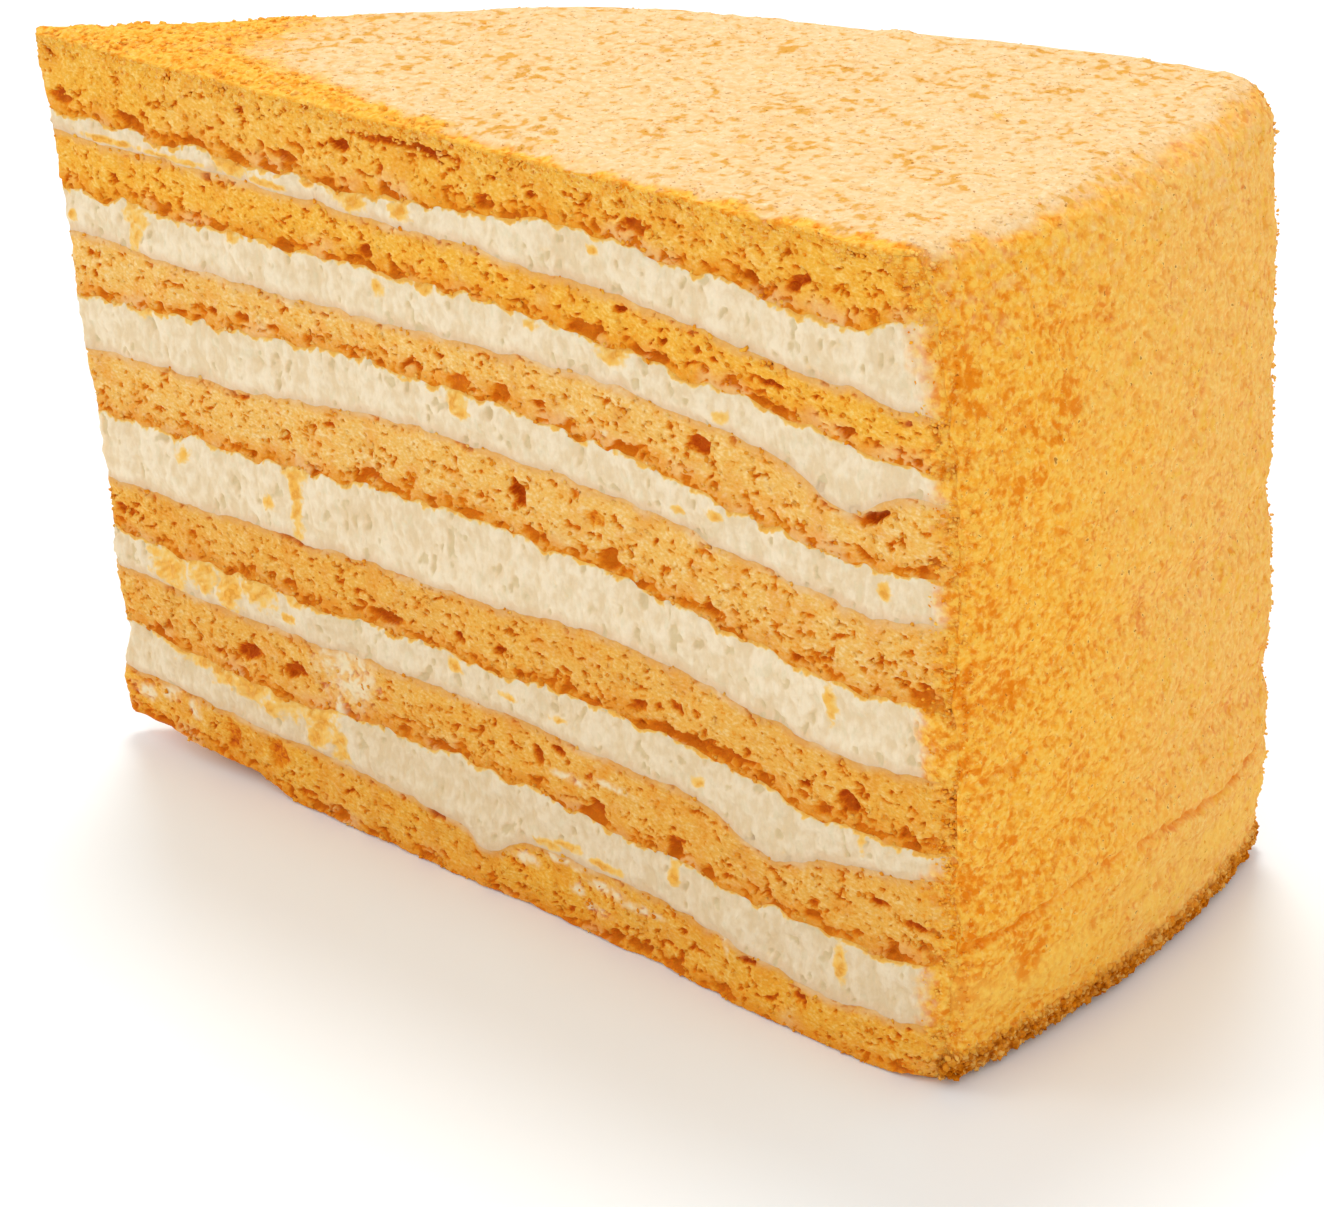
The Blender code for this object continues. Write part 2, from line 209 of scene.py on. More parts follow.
# Cream dragged over the sponge by the knife: place, height, half length, half height
CREAM_SMEARS = (
    (36.5, 19.0, 3.6, 3.4), (35.0, 15.6, 0.7, 2.2), (67.0, 17.6, 2.0, 0.5), (73.0, 18.6, 2.2, 0.4),
    (86.4, 34.6, 0.4, 1.3), (86.4, 6.4, 0.4, 1.3), (74.3, 56.5, 0.5, 0.5), (67.0, 4.4, 0.7, 0.6),
    (3.2, 6.2, 1.8, 1.0), (7.4, 7.2, 1.4, 0.9), (11.5, 6.6, 1.0, 0.9), (66.0, 7.4, 2.6, 0.5),
    (71.0, 6.2, 2.4, 0.6), (75.5, 5.4, 2.0, 0.6), (69.5, 3.0, 1.4, 0.5), (60.0, 5.6, 1.5, 0.7),
)

# Steps of the ring that goes round a layer, and of its height
FRONT_COLUMNS = 620
BACK_COLUMNS = 400
RIM_COLUMNS = 13
TIP_COLUMNS = 10
SPONGE_ROWS = 42
# The two cuts in that ring
FRONT = slice(0, FRONT_COLUMNS + 1)
BACK_START = FRONT_COLUMNS + RIM_COLUMNS

# Caps of a layer, just inside its wall, and how far its wall may be pressed in or out;
# points nearer than the last value are one
CAP_INSET = 0.8
CAP_SHARE = 0.07
CAP_GAP = 0.15
BASE_BELLY = 0.5
DEEPEST_SHARE = 0.25
MOST_PROUD = 1.0
SAME_PLACE = 0.001

# Random directions at the corners of a lattice, for smooth lumps of any size
SLOPE_COUNT = 4096
slopes = np.random.default_rng(11).normal(size=(SLOPE_COUNT, 3))
slopes /= np.linalg.norm(slopes, axis=1)[:, None]
LATTICE_STEPS = (73856093, 19349663, 83492791)
SEED_STEP = 17.31
LUMP_STRENGTH = 1.6


def lumps(x, y, z, size, seed):
    """Give smooth lumps of one size, from about -1 to 1, at many points at once."""
    x, y, z = np.broadcast_arrays(x, y, z)
    place = np.stack((x, y, z), -1) / size + seed * SEED_STEP
    cell = np.floor(place).astype(np.int64)
    near = place - cell
    ease = near ** 3 * (near * (near * 6 - 15) + 10)
    total = np.zeros(x.shape)
    for corner in np.ndindex(2, 2, 2):
        at = (cell + corner) * LATTICE_STEPS
        mixed = at[..., 0] ^ at[..., 1] ^ at[..., 2]
        pick = (mixed ^ (mixed >> 15)) % SLOPE_COUNT
        weight = np.prod(np.where(corner, ease, 1 - ease), -1)
        total += weight * np.einsum("...i,...i", slopes[pick], near - corner)
    return total * LUMP_STRENGTH


def relief(place, waves, seed):
    """Add up lumps of several sizes, each with its own height."""
    return sum(height * lumps(*place, size, seed + turn) for turn, (size, height) in enumerate(waves))


def step(value, low, high):
    """Rise smoothly from 0 at low to 1 at high."""
    part = np.clip((value - low) / (high - low), 0, 1)
    return part * part * (3 - 2 * part)


def ragged_step(place, value, low, high, waves, seed):
    """Rise from 0 at low to 1 at high, over a border made ragged by lumps."""
    return step(value + relief(place, waves, seed), low, high)


def soft_min(first, second, softness):
    """Give the smaller of two values, with the change between them rounded off."""
    overlap = np.maximum(softness - np.abs(first - second), 0) / softness
    return np.minimum(first, second) - overlap ** 2 * softness / 4


def along_stations(heights, x):
    """Read a height between the stations, on a smooth curve through all of them."""
    heights = np.array(heights)
    stations = np.array(STATIONS)
    spot = np.arange(len(stations))
    low = np.maximum(spot - 1, 0)
    high = np.minimum(spot + 1, len(stations) - 1)
    tilt = (heights[high] - heights[low]) / (stations[high] - stations[low])
    at = np.clip(np.searchsorted(stations, x, side="right") - 1, 0, len(stations) - 2)
    length = stations[at + 1] - stations[at]
    t = np.clip((x - stations[at]) / length, 0, 1)
    rise = heights[at + 1] - heights[at]
    bend_in = tilt[at] * length - rise
    bend_out = rise - tilt[at + 1] * length
    return heights[at] + t * rise + t * (1 - t) * ((1 - t) * bend_in + t * bend_out)


def back_cut(x):
    """Give the back cut's distance from the front cut."""
    near_tip = TIP_WIDTH + BACK_CUT_RISE * x
    beyond_bend = BACK_CUT_FAR_START + BACK_CUT_FAR_RISE * x
    bent = soft_min(near_tip, beyond_bend, BACK_BEND_SOFTNESS)
    return soft_min(bent, BACK_CUT_WIDEST, BACK_CORNER_SOFTNESS)


def rim_reach(y, z):
    """Give how far the coated rim stands from the tip along X, at some height."""
    reach = RIM_CENTRE_X + np.sqrt(RIM_RADIUS ** 2 - (y - RIM_CENTRE_Y) ** 2)
    across = np.clip(y / RIM_WIDTH, 0, 1)
    rise = np.minimum(z, BEND_START)
    shoulder = SHOULDER_INSET_FRONT + (SHOULDER_INSET_BACK - SHOULDER_INSET_FRONT) * across
    reach = reach - across * (BACK_LEAN_FOOT + (BACK_LEAN_TOP - BACK_LEAN_FOOT) * rise / CORE_TOP)
    reach = reach - shoulder * np.clip((rise - SHOULDER_HEIGHT) / (CORE_TOP - SHOULDER_HEIGHT), 0, 1)
    reach = reach - FOOT_INSET * np.clip((FOOT_HEIGHT - z) / FOOT_HEIGHT, 0, 1)
    reach = reach + FOOT_BAND_PROUD * np.clip((FOOT_BAND_HEIGHT - z) / FOOT_BAND_SLOPE, 0, 1)
    for height, depth in RIM_GROOVES:
        wander = height + GROOVE_WANDER * lumps(0.0, y, 0.0, GROOVE_WANDER_LENGTH, height)
        reach = reach - depth * np.exp(-((z - wander) / GROOVE_HALF_HEIGHT) ** 2)
    over = np.clip((z - BEND_START) / TOP_EDGE_RADIUS, 0, 1)
    return reach - TOP_EDGE_RADIUS * (1 - np.sqrt(1 - over ** 2))


def plan_point(u, v, reach, z):
    """Place a point of the plan: u runs from tip to rim, v from front cut to back cut."""
    start = TIP_ROUND * (1 - np.sin(np.pi * v))
    x = start + u * (reach - start)
    y = v * back_cut(x)
    wear = np.interp(z, np.linspace(0, CORE_TOP, len(TIP_WEAR)), TIP_WEAR)
    return x + wear * np.clip(1 - x / TIP_WEAR_REACH, 0, 1), y


def flat_grid(columns, rows):
    """Make a mesh grid, and give the row and the column of each of its corners."""
    mesh = bmesh.new()
    bmesh.ops.create_grid(mesh, x_segments=columns, y_segments=rows, size=0.5)
    bmesh.ops.scale(mesh, vec=(columns, rows, 1), verts=mesh.verts)
    bmesh.ops.translate(mesh, vec=(columns / 2, rows / 2, 0), verts=mesh.verts)
    data = bpy.data.meshes.new("grid")
    mesh.to_mesh(data)
    mesh.free()
    place = np.empty(len(data.vertices) * 3, np.float32)
    data.vertices.foreach_get("co", place)
    at = np.rint(place.reshape(-1, 3)).astype(int)
    return data, at[:, 1], at[:, 0]


def place_points(data, x, y, z, **marks):
    """Move a mesh's points to their places, inside the part's box, and note its marks."""
    place = np.stack((x - PLAN_CENTRE_X, y - PLAN_CENTRE_Y, z), -1) * MM
    place = np.clip(place, *cad_box)
    data.vertices.foreach_set("co", place.astype(np.float32).ravel())
    for name, values in marks.items():
        mark = data.attributes.new(name, "FLOAT", "POINT")
        mark.data.foreach_set("value", values.astype(np.float32).ravel())


def show(name, data, material):
    """Put a finished mesh in the scene as one piece of the slice."""
    data.name = name
    data.materials.clear()
    data.materials.append(material)
    data.polygons.foreach_set("use_smooth", np.ones(len(data.polygons), bool))
    piece = bpy.data.objects.new(name, data)
    bpy.context.scene.collection.objects.link(piece)
    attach(piece, "root")
    return piece


def ring_steps():
    """List u and v round a layer: front cut, rim, back cut, tip, and the start again."""
    front = np.linspace(0, 1, FRONT_COLUMNS + 1)
    rim = np.linspace(0, 1, RIM_COLUMNS + 1)[1:-1]
    back = np.linspace(1, 0, BACK_COLUMNS + 1)
    tip = np.linspace(1, 0, TIP_COLUMNS + 1)[1:]
    u = np.concatenate((front, np.ones(len(rim)), back, np.zeros(len(tip))))
    v = np.concatenate((np.zeros(len(front)), rim, np.ones(len(back)), tip))
    return u, v


# How ragged the edge between two layers is: size of the lumps and height
EDGE_WAVES = ((9.0, 0.25),)
SPONGE_TOP_WAVES = ((3.0, 0.35), (1.1, 0.14), (0.5, 0.06))
SPONGE_FOOT_WAVES = ((3.0, 0.8), (1.3, 0.3), (0.6, 0.08))
BASE_WAVES = ((2.0, 0.25), (0.8, 0.2))


def layer_edge(order, u, v, x):
    """Give the height of the surface between two layers, ragged where it shows."""
    at_cut = (u < 1) | (v == 0) | (v == 1)
    wide = v * RIM_WIDTH
    if order < 0:
        worn = np.interp(x, *BASE_WEAR) + np.abs(relief((x, wide, 0.0), BASE_WAVES, 3))
        return np.where((v == 0) | (v == 1) | (u == 0), worn, 0.0)
    name, heights = LAYER_TOPS[order]
    level = along_stations(heights, x)
    if order == len(LAYER_TOPS) - 1:
        return level + at_cut * (COAT_ON_TOP - LIP_ON_TOP)
    waves = SPONGE_TOP_WAVES if name.startswith("sponge") else SPONGE_FOOT_WAVES
    z = level + relief((x, wide, 0.0), EDGE_WAVES + waves, 10 * order + 200)
    for layer, centre, depth, half_width in DIPS:
        if layer == name:
            z = z - (v == 0) * depth * np.exp(-((x - centre) / half_width) ** 2)
    return np.where(at_cut, z, level)


# Unevenness that the knife left right over a cut; it fades out towards the rim. Finer
# relief fades out where two layers meet, so that they meet flush.
FLUSH_EDGE = 0.45
CUT_WAVES = ((6.0, 0.45), (2.4, 0.25))
CALM_REACH = 3.0
CORNER_WEAR = 0.8
CORNER_REACH = 2.8
CORNER_WAVES = ((2.4, 0.7),)


def layer_wall(order, rows):
    """Lay out one layer's wall: its points, which way they face and where they stand."""
    u, v = ring_steps()
    hidden = (u == 1) & (v > 0) & (v < 1)
    inset = np.where(hidden, COAT_ON_RIM + RIM_GAP, LIP_ON_RIM)
    middle = np.full(len(u), CORE_TOP / 2)
    x, y = plan_point(u, v, rim_reach(v * RIM_WIDTH, middle) - inset, middle)
    low = layer_edge(order - 1, u, v, x)
    high = layer_edge(order, u, v, x)
    level = np.linspace(0, 1, rows + 1)[:, None]
    z = low + (high - low) * level
    reach = rim_reach(v * RIM_WIDTH, z) - inset
    x, y = plan_point(u, v, reach, z)
    ahead = np.concatenate((np.arange(1, len(u)), [1]))
    behind = np.concatenate(([len(u) - 2], np.arange(len(u) - 1)))
    behind[BACK_START] = BACK_START
    ahead[FRONT_COLUMNS] = FRONT_COLUMNS
    run_x = x[:, ahead] - x[:, behind]
    run_y = y[:, ahead] - y[:, behind]
    length = np.hypot(run_x, run_y)
    from_edge = np.minimum(np.minimum(z - low, high - z), reach - x)
    return SimpleNamespace(
        order=order, x=x, y=y, z=z, hidden=hidden, place=(x, v * RIM_WIDTH, z), to_rim=reach - x,
        level=np.broadcast_to(level, z.shape), above_foot=z - low, below_top=high - z,
        off_edge=step(from_edge, 0.0, FLUSH_EDGE), face_x=run_y / length, face_y=-run_x / length)


def cut_relief(place, to_rim):
    """Give how far a cut stands out, layers and coat alike, and worn round by the rim."""
    near = np.clip(1 - to_rim / CORNER_REACH, 0, 1)
    worn = CORNER_WEAR * near ** 2 * (1 + relief(place, CORNER_WAVES, 16))
    x, wide, z = place
    centre, proud, half_width, height = FOOT_BULGE
    bulge = proud * np.exp(-((x - centre) / half_width) ** 2) * np.clip(1 - z / height, 0, 1)
    return step(to_rim, 0.0, CALM_REACH) * (relief(place, CUT_WAVES, 2) + (wide == 0) * bulge) - worn


def mark_corners(data, row, column, top_row):
    """Keep a layer crisp where its wall meets its caps, and where the cuts meet the rim."""
    ends = np.empty(len(data.edges) * 2, np.int32)
    data.edges.foreach_get("vertices", ends)
    first, second = ends.reshape(-1, 2).T
    level = (row[first] == row[second]) & np.isin(row[first], (1, top_row))
    upright = (column[first] == column[second]) & np.isin(column[first], (FRONT_COLUMNS, BACK_START))
    crease = data.attributes.new("sharp_edge", "BOOLEAN", "EDGE")
    crease.data.foreach_set("value", level | upright)


def fill_caps(data):
    """Close a layer's ring into a shell: join its ends, and fill its top and its base."""
    mesh = bmesh.new()
    mesh.from_mesh(data)
    bmesh.ops.remove_doubles(mesh, verts=mesh.verts, dist=SAME_PLACE * MM)
    height = mesh.verts.layers.float["level"]
    for top in (False, True):
        rim = [edge for edge in mesh.edges if edge.is_boundary and (edge.verts[0][height] > 0.5) == top]
        cap = bmesh.ops.edgeloop_fill(mesh, edges=rim)["faces"]
        bmesh.ops.triangulate(mesh, faces=cap)
    bmesh.ops.recalc_face_normals(mesh, faces=mesh.faces)
    if mesh.calc_volume(signed=True) < 0:
        bmesh.ops.reverse_faces(mesh, faces=mesh.faces)
    mesh.to_mesh(data)
    mesh.free()


def close_layer(name, material, wall, out, marks):
    """Turn a wall into a closed piece: press its relief in, and cap it top and bottom."""
    thick = back_cut(wall.x[0])
    out = np.clip(out, -DEEPEST_SHARE * thick, MOST_PROUD) * ~wall.hidden
    wall.x = wall.x + wall.face_x * out
    wall.y = wall.y + wall.face_y * out
    stack = LAYER_TOPS[max(wall.order - 1, 0):wall.order + 1]
    tops = [along_stations(heights, wall.x[0]) for _, heights in stack]
    belly = np.maximum(np.interp(wall.x[0], *BASE_WEAR) - BASE_BELLY, 0)
    below = tops[0] + CAP_GAP if wall.order else belly
    inward = np.minimum(CAP_INSET, CAP_SHARE * thick)
    data, row, column = flat_grid(len(thick) - 1, len(wall.z) + 1)

    def capped(field, lower_inset=0.0, upper_inset=0.0):
        """Repeat a field's outer rows, moved in a little, for the caps."""
        return np.vstack((field[0] - lower_inset, field, field[-1] - upper_inset))[row, column]

    place_points(
        data, capped(wall.x, wall.face_x[0] * inward, wall.face_x[-1] * inward),
        capped(wall.y, wall.face_y[0] * inward, wall.face_y[-1] * inward),
        np.vstack((below, wall.z, tops[-1] - CAP_GAP))[row, column],
        level=capped(wall.level), **{key: capped(value) for key, value in marks.items()})
    mark_corners(data, row, column, len(wall.z))
    fill_caps(data)
    return show("honey_" + name, data, material)


# The sponge's own pores: how their outlines bend, the lumps that open where they are high
# enough, and their depth. More of them open low in a layer.
PORE_BEND = ((1.6, 0.45), (0.6, 0.22))
PORE_FLATNESS = 1.6
PORE_WAVES = ((1.5, 0.95), (0.7, 0.6), (0.4, 0.35))
PORE_OPENS = (0.45, 0.72)
PORE_DEPTH = 0.42
MORE_LOW_PORES = 0.3
WIDE_WAVES = ((3.6, 1.0), (1.5, 0.55), (0.6, 0.3))
WIDE_OPENS = (0.85, 1.25)
WIDE_DEPTH = 0.75
MORE_LOW_WIDE = 0.8
HOLE_BEND = ((1.5, 0.5), (0.7, 0.3), (0.4, 0.15))
HOLE_SHARE = 0.6
CRUMB_IN_HOLES = 0.5
CRUMB_IN_HOLES_SPAN = (-0.6, 1)


def sponge_pores(place, level):
    """Give how deep the sponge's ragged pores are."""
    x, y, z = place
    bent = (x + relief(place, PORE_BEND, 60), y, PORE_FLATNESS * (z + relief(place, PORE_BEND, 62)))
    small = relief(bent, PORE_WAVES, 67) + MORE_LOW_PORES * (1 - level) ** 2
    wide = relief(bent, WIDE_WAVES, 71) + MORE_LOW_WIDE * (1 - level) ** 3
    return np.maximum(PORE_DEPTH * step(small, *PORE_OPENS), WIDE_DEPTH * step(wide, *WIDE_OPENS))


def front_holes(place, crumb_lift):
    """Give how deep the open holes of the front cut are, with some crumb left in them."""
    along = (place[0] + relief(place, HOLE_BEND, 80))[:, FRONT]
    up = (place[2] + relief(place, HOLE_BEND, 84))[:, FRONT]
    holes = [(*hole, 0.0) for hole in FRONT_HOLES] + list(LEANING_HOLES)
    holes += [(*spot, *size, 0.0) for size, spots in HOLES_ALIKE for spot in spots]
    deep = np.zeros(up.shape)
    for spot, height, half_length, half_height, depth, lean in holes:
        ahead = along - spot
        away = np.hypot(ahead / half_length, (up - height - lean * ahead) / half_height)
        deep = np.maximum(deep, depth * step(away, *HOLE_EDGE))
    left = 1 - CRUMB_IN_HOLES * crumb_lift[:, FRONT].clip(*CRUMB_IN_HOLES_SPAN)
    return HOLE_SHARE * (deep * left)


# The ragged outline of what is smeared over a cut, and how it thins out at its edge
SMEAR_WAVES = ((1.8, 0.4), (0.8, 0.3), (0.4, 0.2))
SMEAR_EDGE = (1.6, 0.4)


def smears(wall, places):
    """Give where something is smeared over the front cut, from 0 to 1."""
    along, wide, up = [part[..., FRONT] for part in wall.place]
    ragged = relief((along, wide, up), SMEAR_WAVES, 21)
    cover = np.zeros(wall.z.shape)
    for place, height, half_length, half_height in places:
        away = np.hypot((along - place) / half_length, (up - height) / half_height)
        cover[:, FRONT] = np.maximum(cover[:, FRONT], step(away + ragged, *SMEAR_EDGE))
    return cover


def display(red, green, blue):
    """Turn a display colour into a linear one."""
    return [((part / 255 + 0.055) / 1.055) ** 2.4 for part in (red, green, blue)] + [1.0]


def add_node(material, kind, out=0, **inputs):
    """Add a node and give one of its outputs. Names in small letters are its settings, others
    its inputs, to link or set: an underscore is a space, and N6 is the input at place 6."""
    tree = material.node_tree
    node = tree.nodes.new(kind)
    for name, value in inputs.items():
        if name.islower():
            setattr(node, name, value)
            continue
        socket = node.inputs[int(name[1:])] if name[1:].isdigit() else node.inputs[name.replace("_", " ")]
        if isinstance(value, bpy.types.NodeSocket):
            tree.links.new(value, socket)
        else:
            socket.default_value = value
    return node.outputs[out]


def mix(material, factor, first, second, kind="MIX"):
    """Mix two colours by a factor."""
    return add_node(
        material, "ShaderNodeMix", 2, data_type="RGBA", blend_type=kind, N0=factor, N6=first, N7=second)


def ramp(material, value, low, high, top=1.0):
    """Rise smoothly from 0 at low to top at high."""
    return add_node(
        material, "ShaderNodeMapRange", interpolation_type="SMOOTHSTEP",
        Value=value, From_Min=low, From_Max=high, To_Max=top)


def mark(material, name):
    """Read one of the marks noted on a piece."""
    return add_node(material, "ShaderNodeAttribute", 2, attribute_name=name)


def grain(material, size, detail=2.0, stretch=(1.0, 1.0, 1.0)):
    """Give an even mottling whose spots are about that many millimetres."""
    spot = add_node(material, "ShaderNodeTexCoord", 3)
    spot = add_node(material, "ShaderNodeMapping", Vector=spot, Scale=stretch)
    return add_node(material, "ShaderNodeTexNoise", Vector=spot, Scale=1 / (size * MM), Detail=detail)


def swayed(material, value, mottling, strength):
    """Raise and lower a value by a mottling that is even about its middle."""
    sway = add_node(
        material, "ShaderNodeMath", operation="MULTIPLY_ADD", N0=mottling, N1=strength, N2=-strength / 2)
    return add_node(material, "ShaderNodeMath", N0=sway, N1=value)


def mottled(material, tone, colour, size, detail, low, high, top=1.0, stretch=(1.0, 1.0, 1.0)):
    """Lay spots of a colour over a tone: from low to high in a mottling of some size."""
    spots = grain(material, size, detail, stretch)
    return mix(material, ramp(material, spots, low, high, top), tone, colour)


def marked(material, tone, colour, name, *rise):
    """Lay a colour over a tone where a mark says, straight or along a ramp."""
    cover = mark(material, name)
    if rise:
        cover = ramp(material, cover, *rise)
    return mix(material, cover, tone, colour)


FOOD_SHEEN = 0.12


def food_finish(name, roughness, scatter, radius):
    """Start a food material: rough, with some light passing through it."""
    material = bpy.data.materials.new(name)
    material.use_nodes = True
    shader = material.node_tree.nodes["Principled BSDF"]
    shader.inputs["Roughness"].default_value = roughness
    shader.inputs["Specular IOR Level"].default_value = FOOD_SHEEN
    shader.inputs["Subsurface Weight"].default_value = scatter
    shader.inputs["Subsurface Radius"].default_value = radius
    shader.subsurface_method = "BURLEY"
    shader.inputs["Subsurface Scale"].default_value = MM
    return material, shader


def link_finish(material, shader, colour, height, distance, strength):
    """Give a material its colour and its fine relief, and hand it over."""
    tree = material.node_tree
    tree.links.new(colour, shader.inputs["Base Color"])
    bump = add_node(material, "ShaderNodeBump", Height=height, Distance=distance * MM, Strength=strength)
    tree.links.new(bump, shader.inputs["Normal"])
    return material


def shades(material, value, stops):
    """Colour by a value, through a list of places and the colours reached there."""
    tone = display(*stops[0][1])
    for (low, _), (high, colour) in zip(stops, stops[1:]):
        tone = mix(material, ramp(material, value, low, high), tone, display(*colour))
    return tone


# Pressed crumbs, as they lie round the rim and over the rim's end of each cut. Each row of
# spots says their size, detail, where they start, where they are full, and how full.
COAT_GOLD = display(250, 194, 80)
COAT_LIGHT = display(254, 213, 119)
COAT_ORANGE = display(248, 172, 48)
COAT_DEEP = display(234, 130, 0)
GOLD_SPOTS = (0.6, 4.0, 0.36, 0.62)
LIGHT_SPOTS = (0.5, 4.0, 0.52, 0.72, 0.7)
# Painted shade in the hollows between crumbs: start, full and how full
DEEP_HOLLOW_SHADE = (0.45, 1.0, 0.5)
DEEP_SPOTS = (0.8, 6.0)
DEEP_SPOTS_FROM = (0.55, 0.8, 0.95)
WARM_SHARE = 0.15


def golden_crumbs(material, warm):
    """Mottle pressed crumbs: golden with light flecks, deeper orange painted as shade in their hollows,
    and orange spots that gather where warm.
    """
    gold = mottled(material, COAT_ORANGE, COAT_GOLD, *GOLD_SPOTS)
    gold = mottled(material, gold, COAT_LIGHT, *LIGHT_SPOTS)
    # Painted shade in the hollows between crumbs
    gold = marked(material, gold, COAT_DEEP, "hollow_shade", *DEEP_HOLLOW_SHADE)
    spots = grain(material, *DEEP_SPOTS)
    spots = add_node(
        material, "ShaderNodeMath", operation="MULTIPLY_ADD", N0=warm, N1=WARM_SHARE, N2=spots)
    return mix(material, ramp(material, spots, *DEEP_SPOTS_FROM), gold, COAT_DEEP)


# How deep a gold each sponge has baked, from the base up; past 1 it is deep all over
SPONGE_RICHNESS = {
    "sponge_1": 1.0, "sponge_2": 0.4, "sponge_3": 0.5, "sponge_4": 0.0,
    "sponge_5": 0.0, "sponge_6": 1.1, "sponge_7": 0.85,
}
RICHNESS_WAVES = ((14.0, 0.35),)
# Colours from the crests of the crumb down into its pores: painted light on the crests, painted shade
# deeper into the pores
PLAIN_SHADES = (
    (0.0, (250, 215, 152)), (0.3, (244, 190, 97)), (0.55, (238, 158, 42)),
    (0.8, (222, 114, 2)), (1.0, (200, 86, 0)),
)
RICH_SHADES = (
    (0.0, (252, 208, 112)), (0.3, (246, 180, 60)), (0.55, (236, 142, 16)),
    (0.8, (214, 104, 0)), (1.0, (190, 78, 0)),
)
# Orange for toasted patches at random, and for painted shade along each sponge's foot
CRUMB_TOAST_AND_SHADE = display(236, 142, 20)
SKIN_TAN = display(234, 172, 102)
# Painted shade: the sponge is made darker towards the base of the slice
SPONGE_LOW_SHADE = display(249, 243, 233)
VEIL_CREAM = display(244, 222, 180)
TOASTED_SPOTS = (3.0, 3.0, 0.5, 0.66, 0.35)
DUST_WARMTH = 0.8


def golden_sponge():
    """Make the sponge's material: painted light on its crests, painted shade, deep orange, in its pores.
    """
    food, shader = food_finish("golden_sponge", roughness=0.75, scatter=0.25, radius=(1.0, 0.5, 0.25))
    fine = grain(food, size=0.45, detail=5.0, stretch=(1.0, 1.0, 1.5))
    # Painted shade and light: darker orange into the pores, lighter on the crests
    painted_pore_shade = swayed(food, mark(food, "pore_shade"), fine, strength=-1.0)
    plain = shades(food, painted_pore_shade, PLAIN_SHADES)
    rich = shades(food, painted_pore_shade, RICH_SHADES)
    crumb = mix(food, mark(food, "rich"), plain, rich)
    crumb = mottled(food, crumb, CRUMB_TOAST_AND_SHADE, *TOASTED_SPOTS)
    # Painted shade along each sponge's foot, where it meets the cream below
    crumb = marked(food, crumb, CRUMB_TOAST_AND_SHADE, "foot_shade")
    crumb = marked(food, crumb, SKIN_TAN, "skin")
    # Painted shade, darker towards the base of the slice
    crumb = mix(food, mark(food, "low"), crumb, SPONGE_LOW_SHADE, "MULTIPLY")
    crumb = marked(food, crumb, VEIL_CREAM, "smear")
    crumb = marked(food, crumb, golden_crumbs(food, DUST_WARMTH), "dust")
    return link_finish(food, shader, crumb, grain(food, size=0.4, detail=5.0), distance=0.3, strength=0.8)


# Bands and patches on the cut sponge: where each starts and is full, its lumps and seed.
# Cream veils a layer's edges, its skin shows on top, and painted shade darkens its foot.
VEIL_BAND = (2.6, 0.2, ((1.8, 0.9),), 31)
VEIL_PATCHES = (0.05, 0.45, ((6.0, 1.0),), 32)
VEIL_SHARE = 0.3
TOP_VEIL_BAND = (0.9, 0.1, ((1.6, 0.5),), 33)
TOP_VEIL_PATCHES = (0.0, 0.4, ((4.0, 1.0),), 34)
TOP_VEIL_SHARE = 0.35
VEIL_SPARES_PORES = (0.6, 0.3)
SKIN_BAND = (1.25, 0.1, ((1.8, 0.5), (0.7, 0.4)), 35)
SKIN_SHARE = 0.7
FOOT_SHADE_BAND = (2.4, 0.2, ((2.2, 0.9),), 36)
FOOT_SHADE_SHARE = 0.6
LACE_WAVES = ((1.4, 0.6), (0.6, 0.4))
CREAM_LACE = (-0.2, 0.15, LACE_WAVES, 38)
THIN_CREAM = 0.25
DUST_BAND = (3.6, 0.0, ((4.0, 1.3), (1.5, 1.2), (0.6, 0.7)), 58)
# Heights over which painted shade darkens the sponge towards the base
LOW_SHADE_HEIGHTS = (52.0, 30.0)

# Small lumps of crumb, how much painted shade the pores get and painted light the raised crumb gets, and
# where the knife pulls crumbs loose
CRUMB_WAVES = ((1.7, 0.5), (0.8, 0.45), (0.4, 0.3))
CRUMB_HEIGHT = 0.16
CRUMB_SHADE = 0.26
CREST_SHADE = 0.2
CRUMBS_A_SPONGE = 350
LOOSE_BAND = 0.6
LOOSE_CHANCE = 0.3
STRAY_CHANCE = 0.1
SHALLOW = 0.1


def rim_dust(wall):
    """Give where crumbs from the rim lie over the end of a cut, from 0 to 1."""
    return ragged_step(wall.place, wall.to_rim, *DUST_BAND)


def veiled(wall, pore_shade, under_cream):
    """Give where a thin veil of cream is drawn over the sponge, from 0 to 1."""
    place = wall.place
    low = ragged_step(place, wall.above_foot, *VEIL_BAND) * ragged_step(place, 0, *VEIL_PATCHES)
    top = ragged_step(place, wall.below_top, *TOP_VEIL_BAND) * ragged_step(place, 0, *TOP_VEIL_PATCHES)
    veil = np.maximum(VEIL_SHARE * low, TOP_VEIL_SHARE * top * under_cream)
    return veil * step(pore_shade, *VEIL_SPARES_PORES)


sponge_finish = golden_sponge()
crumb_seats = []

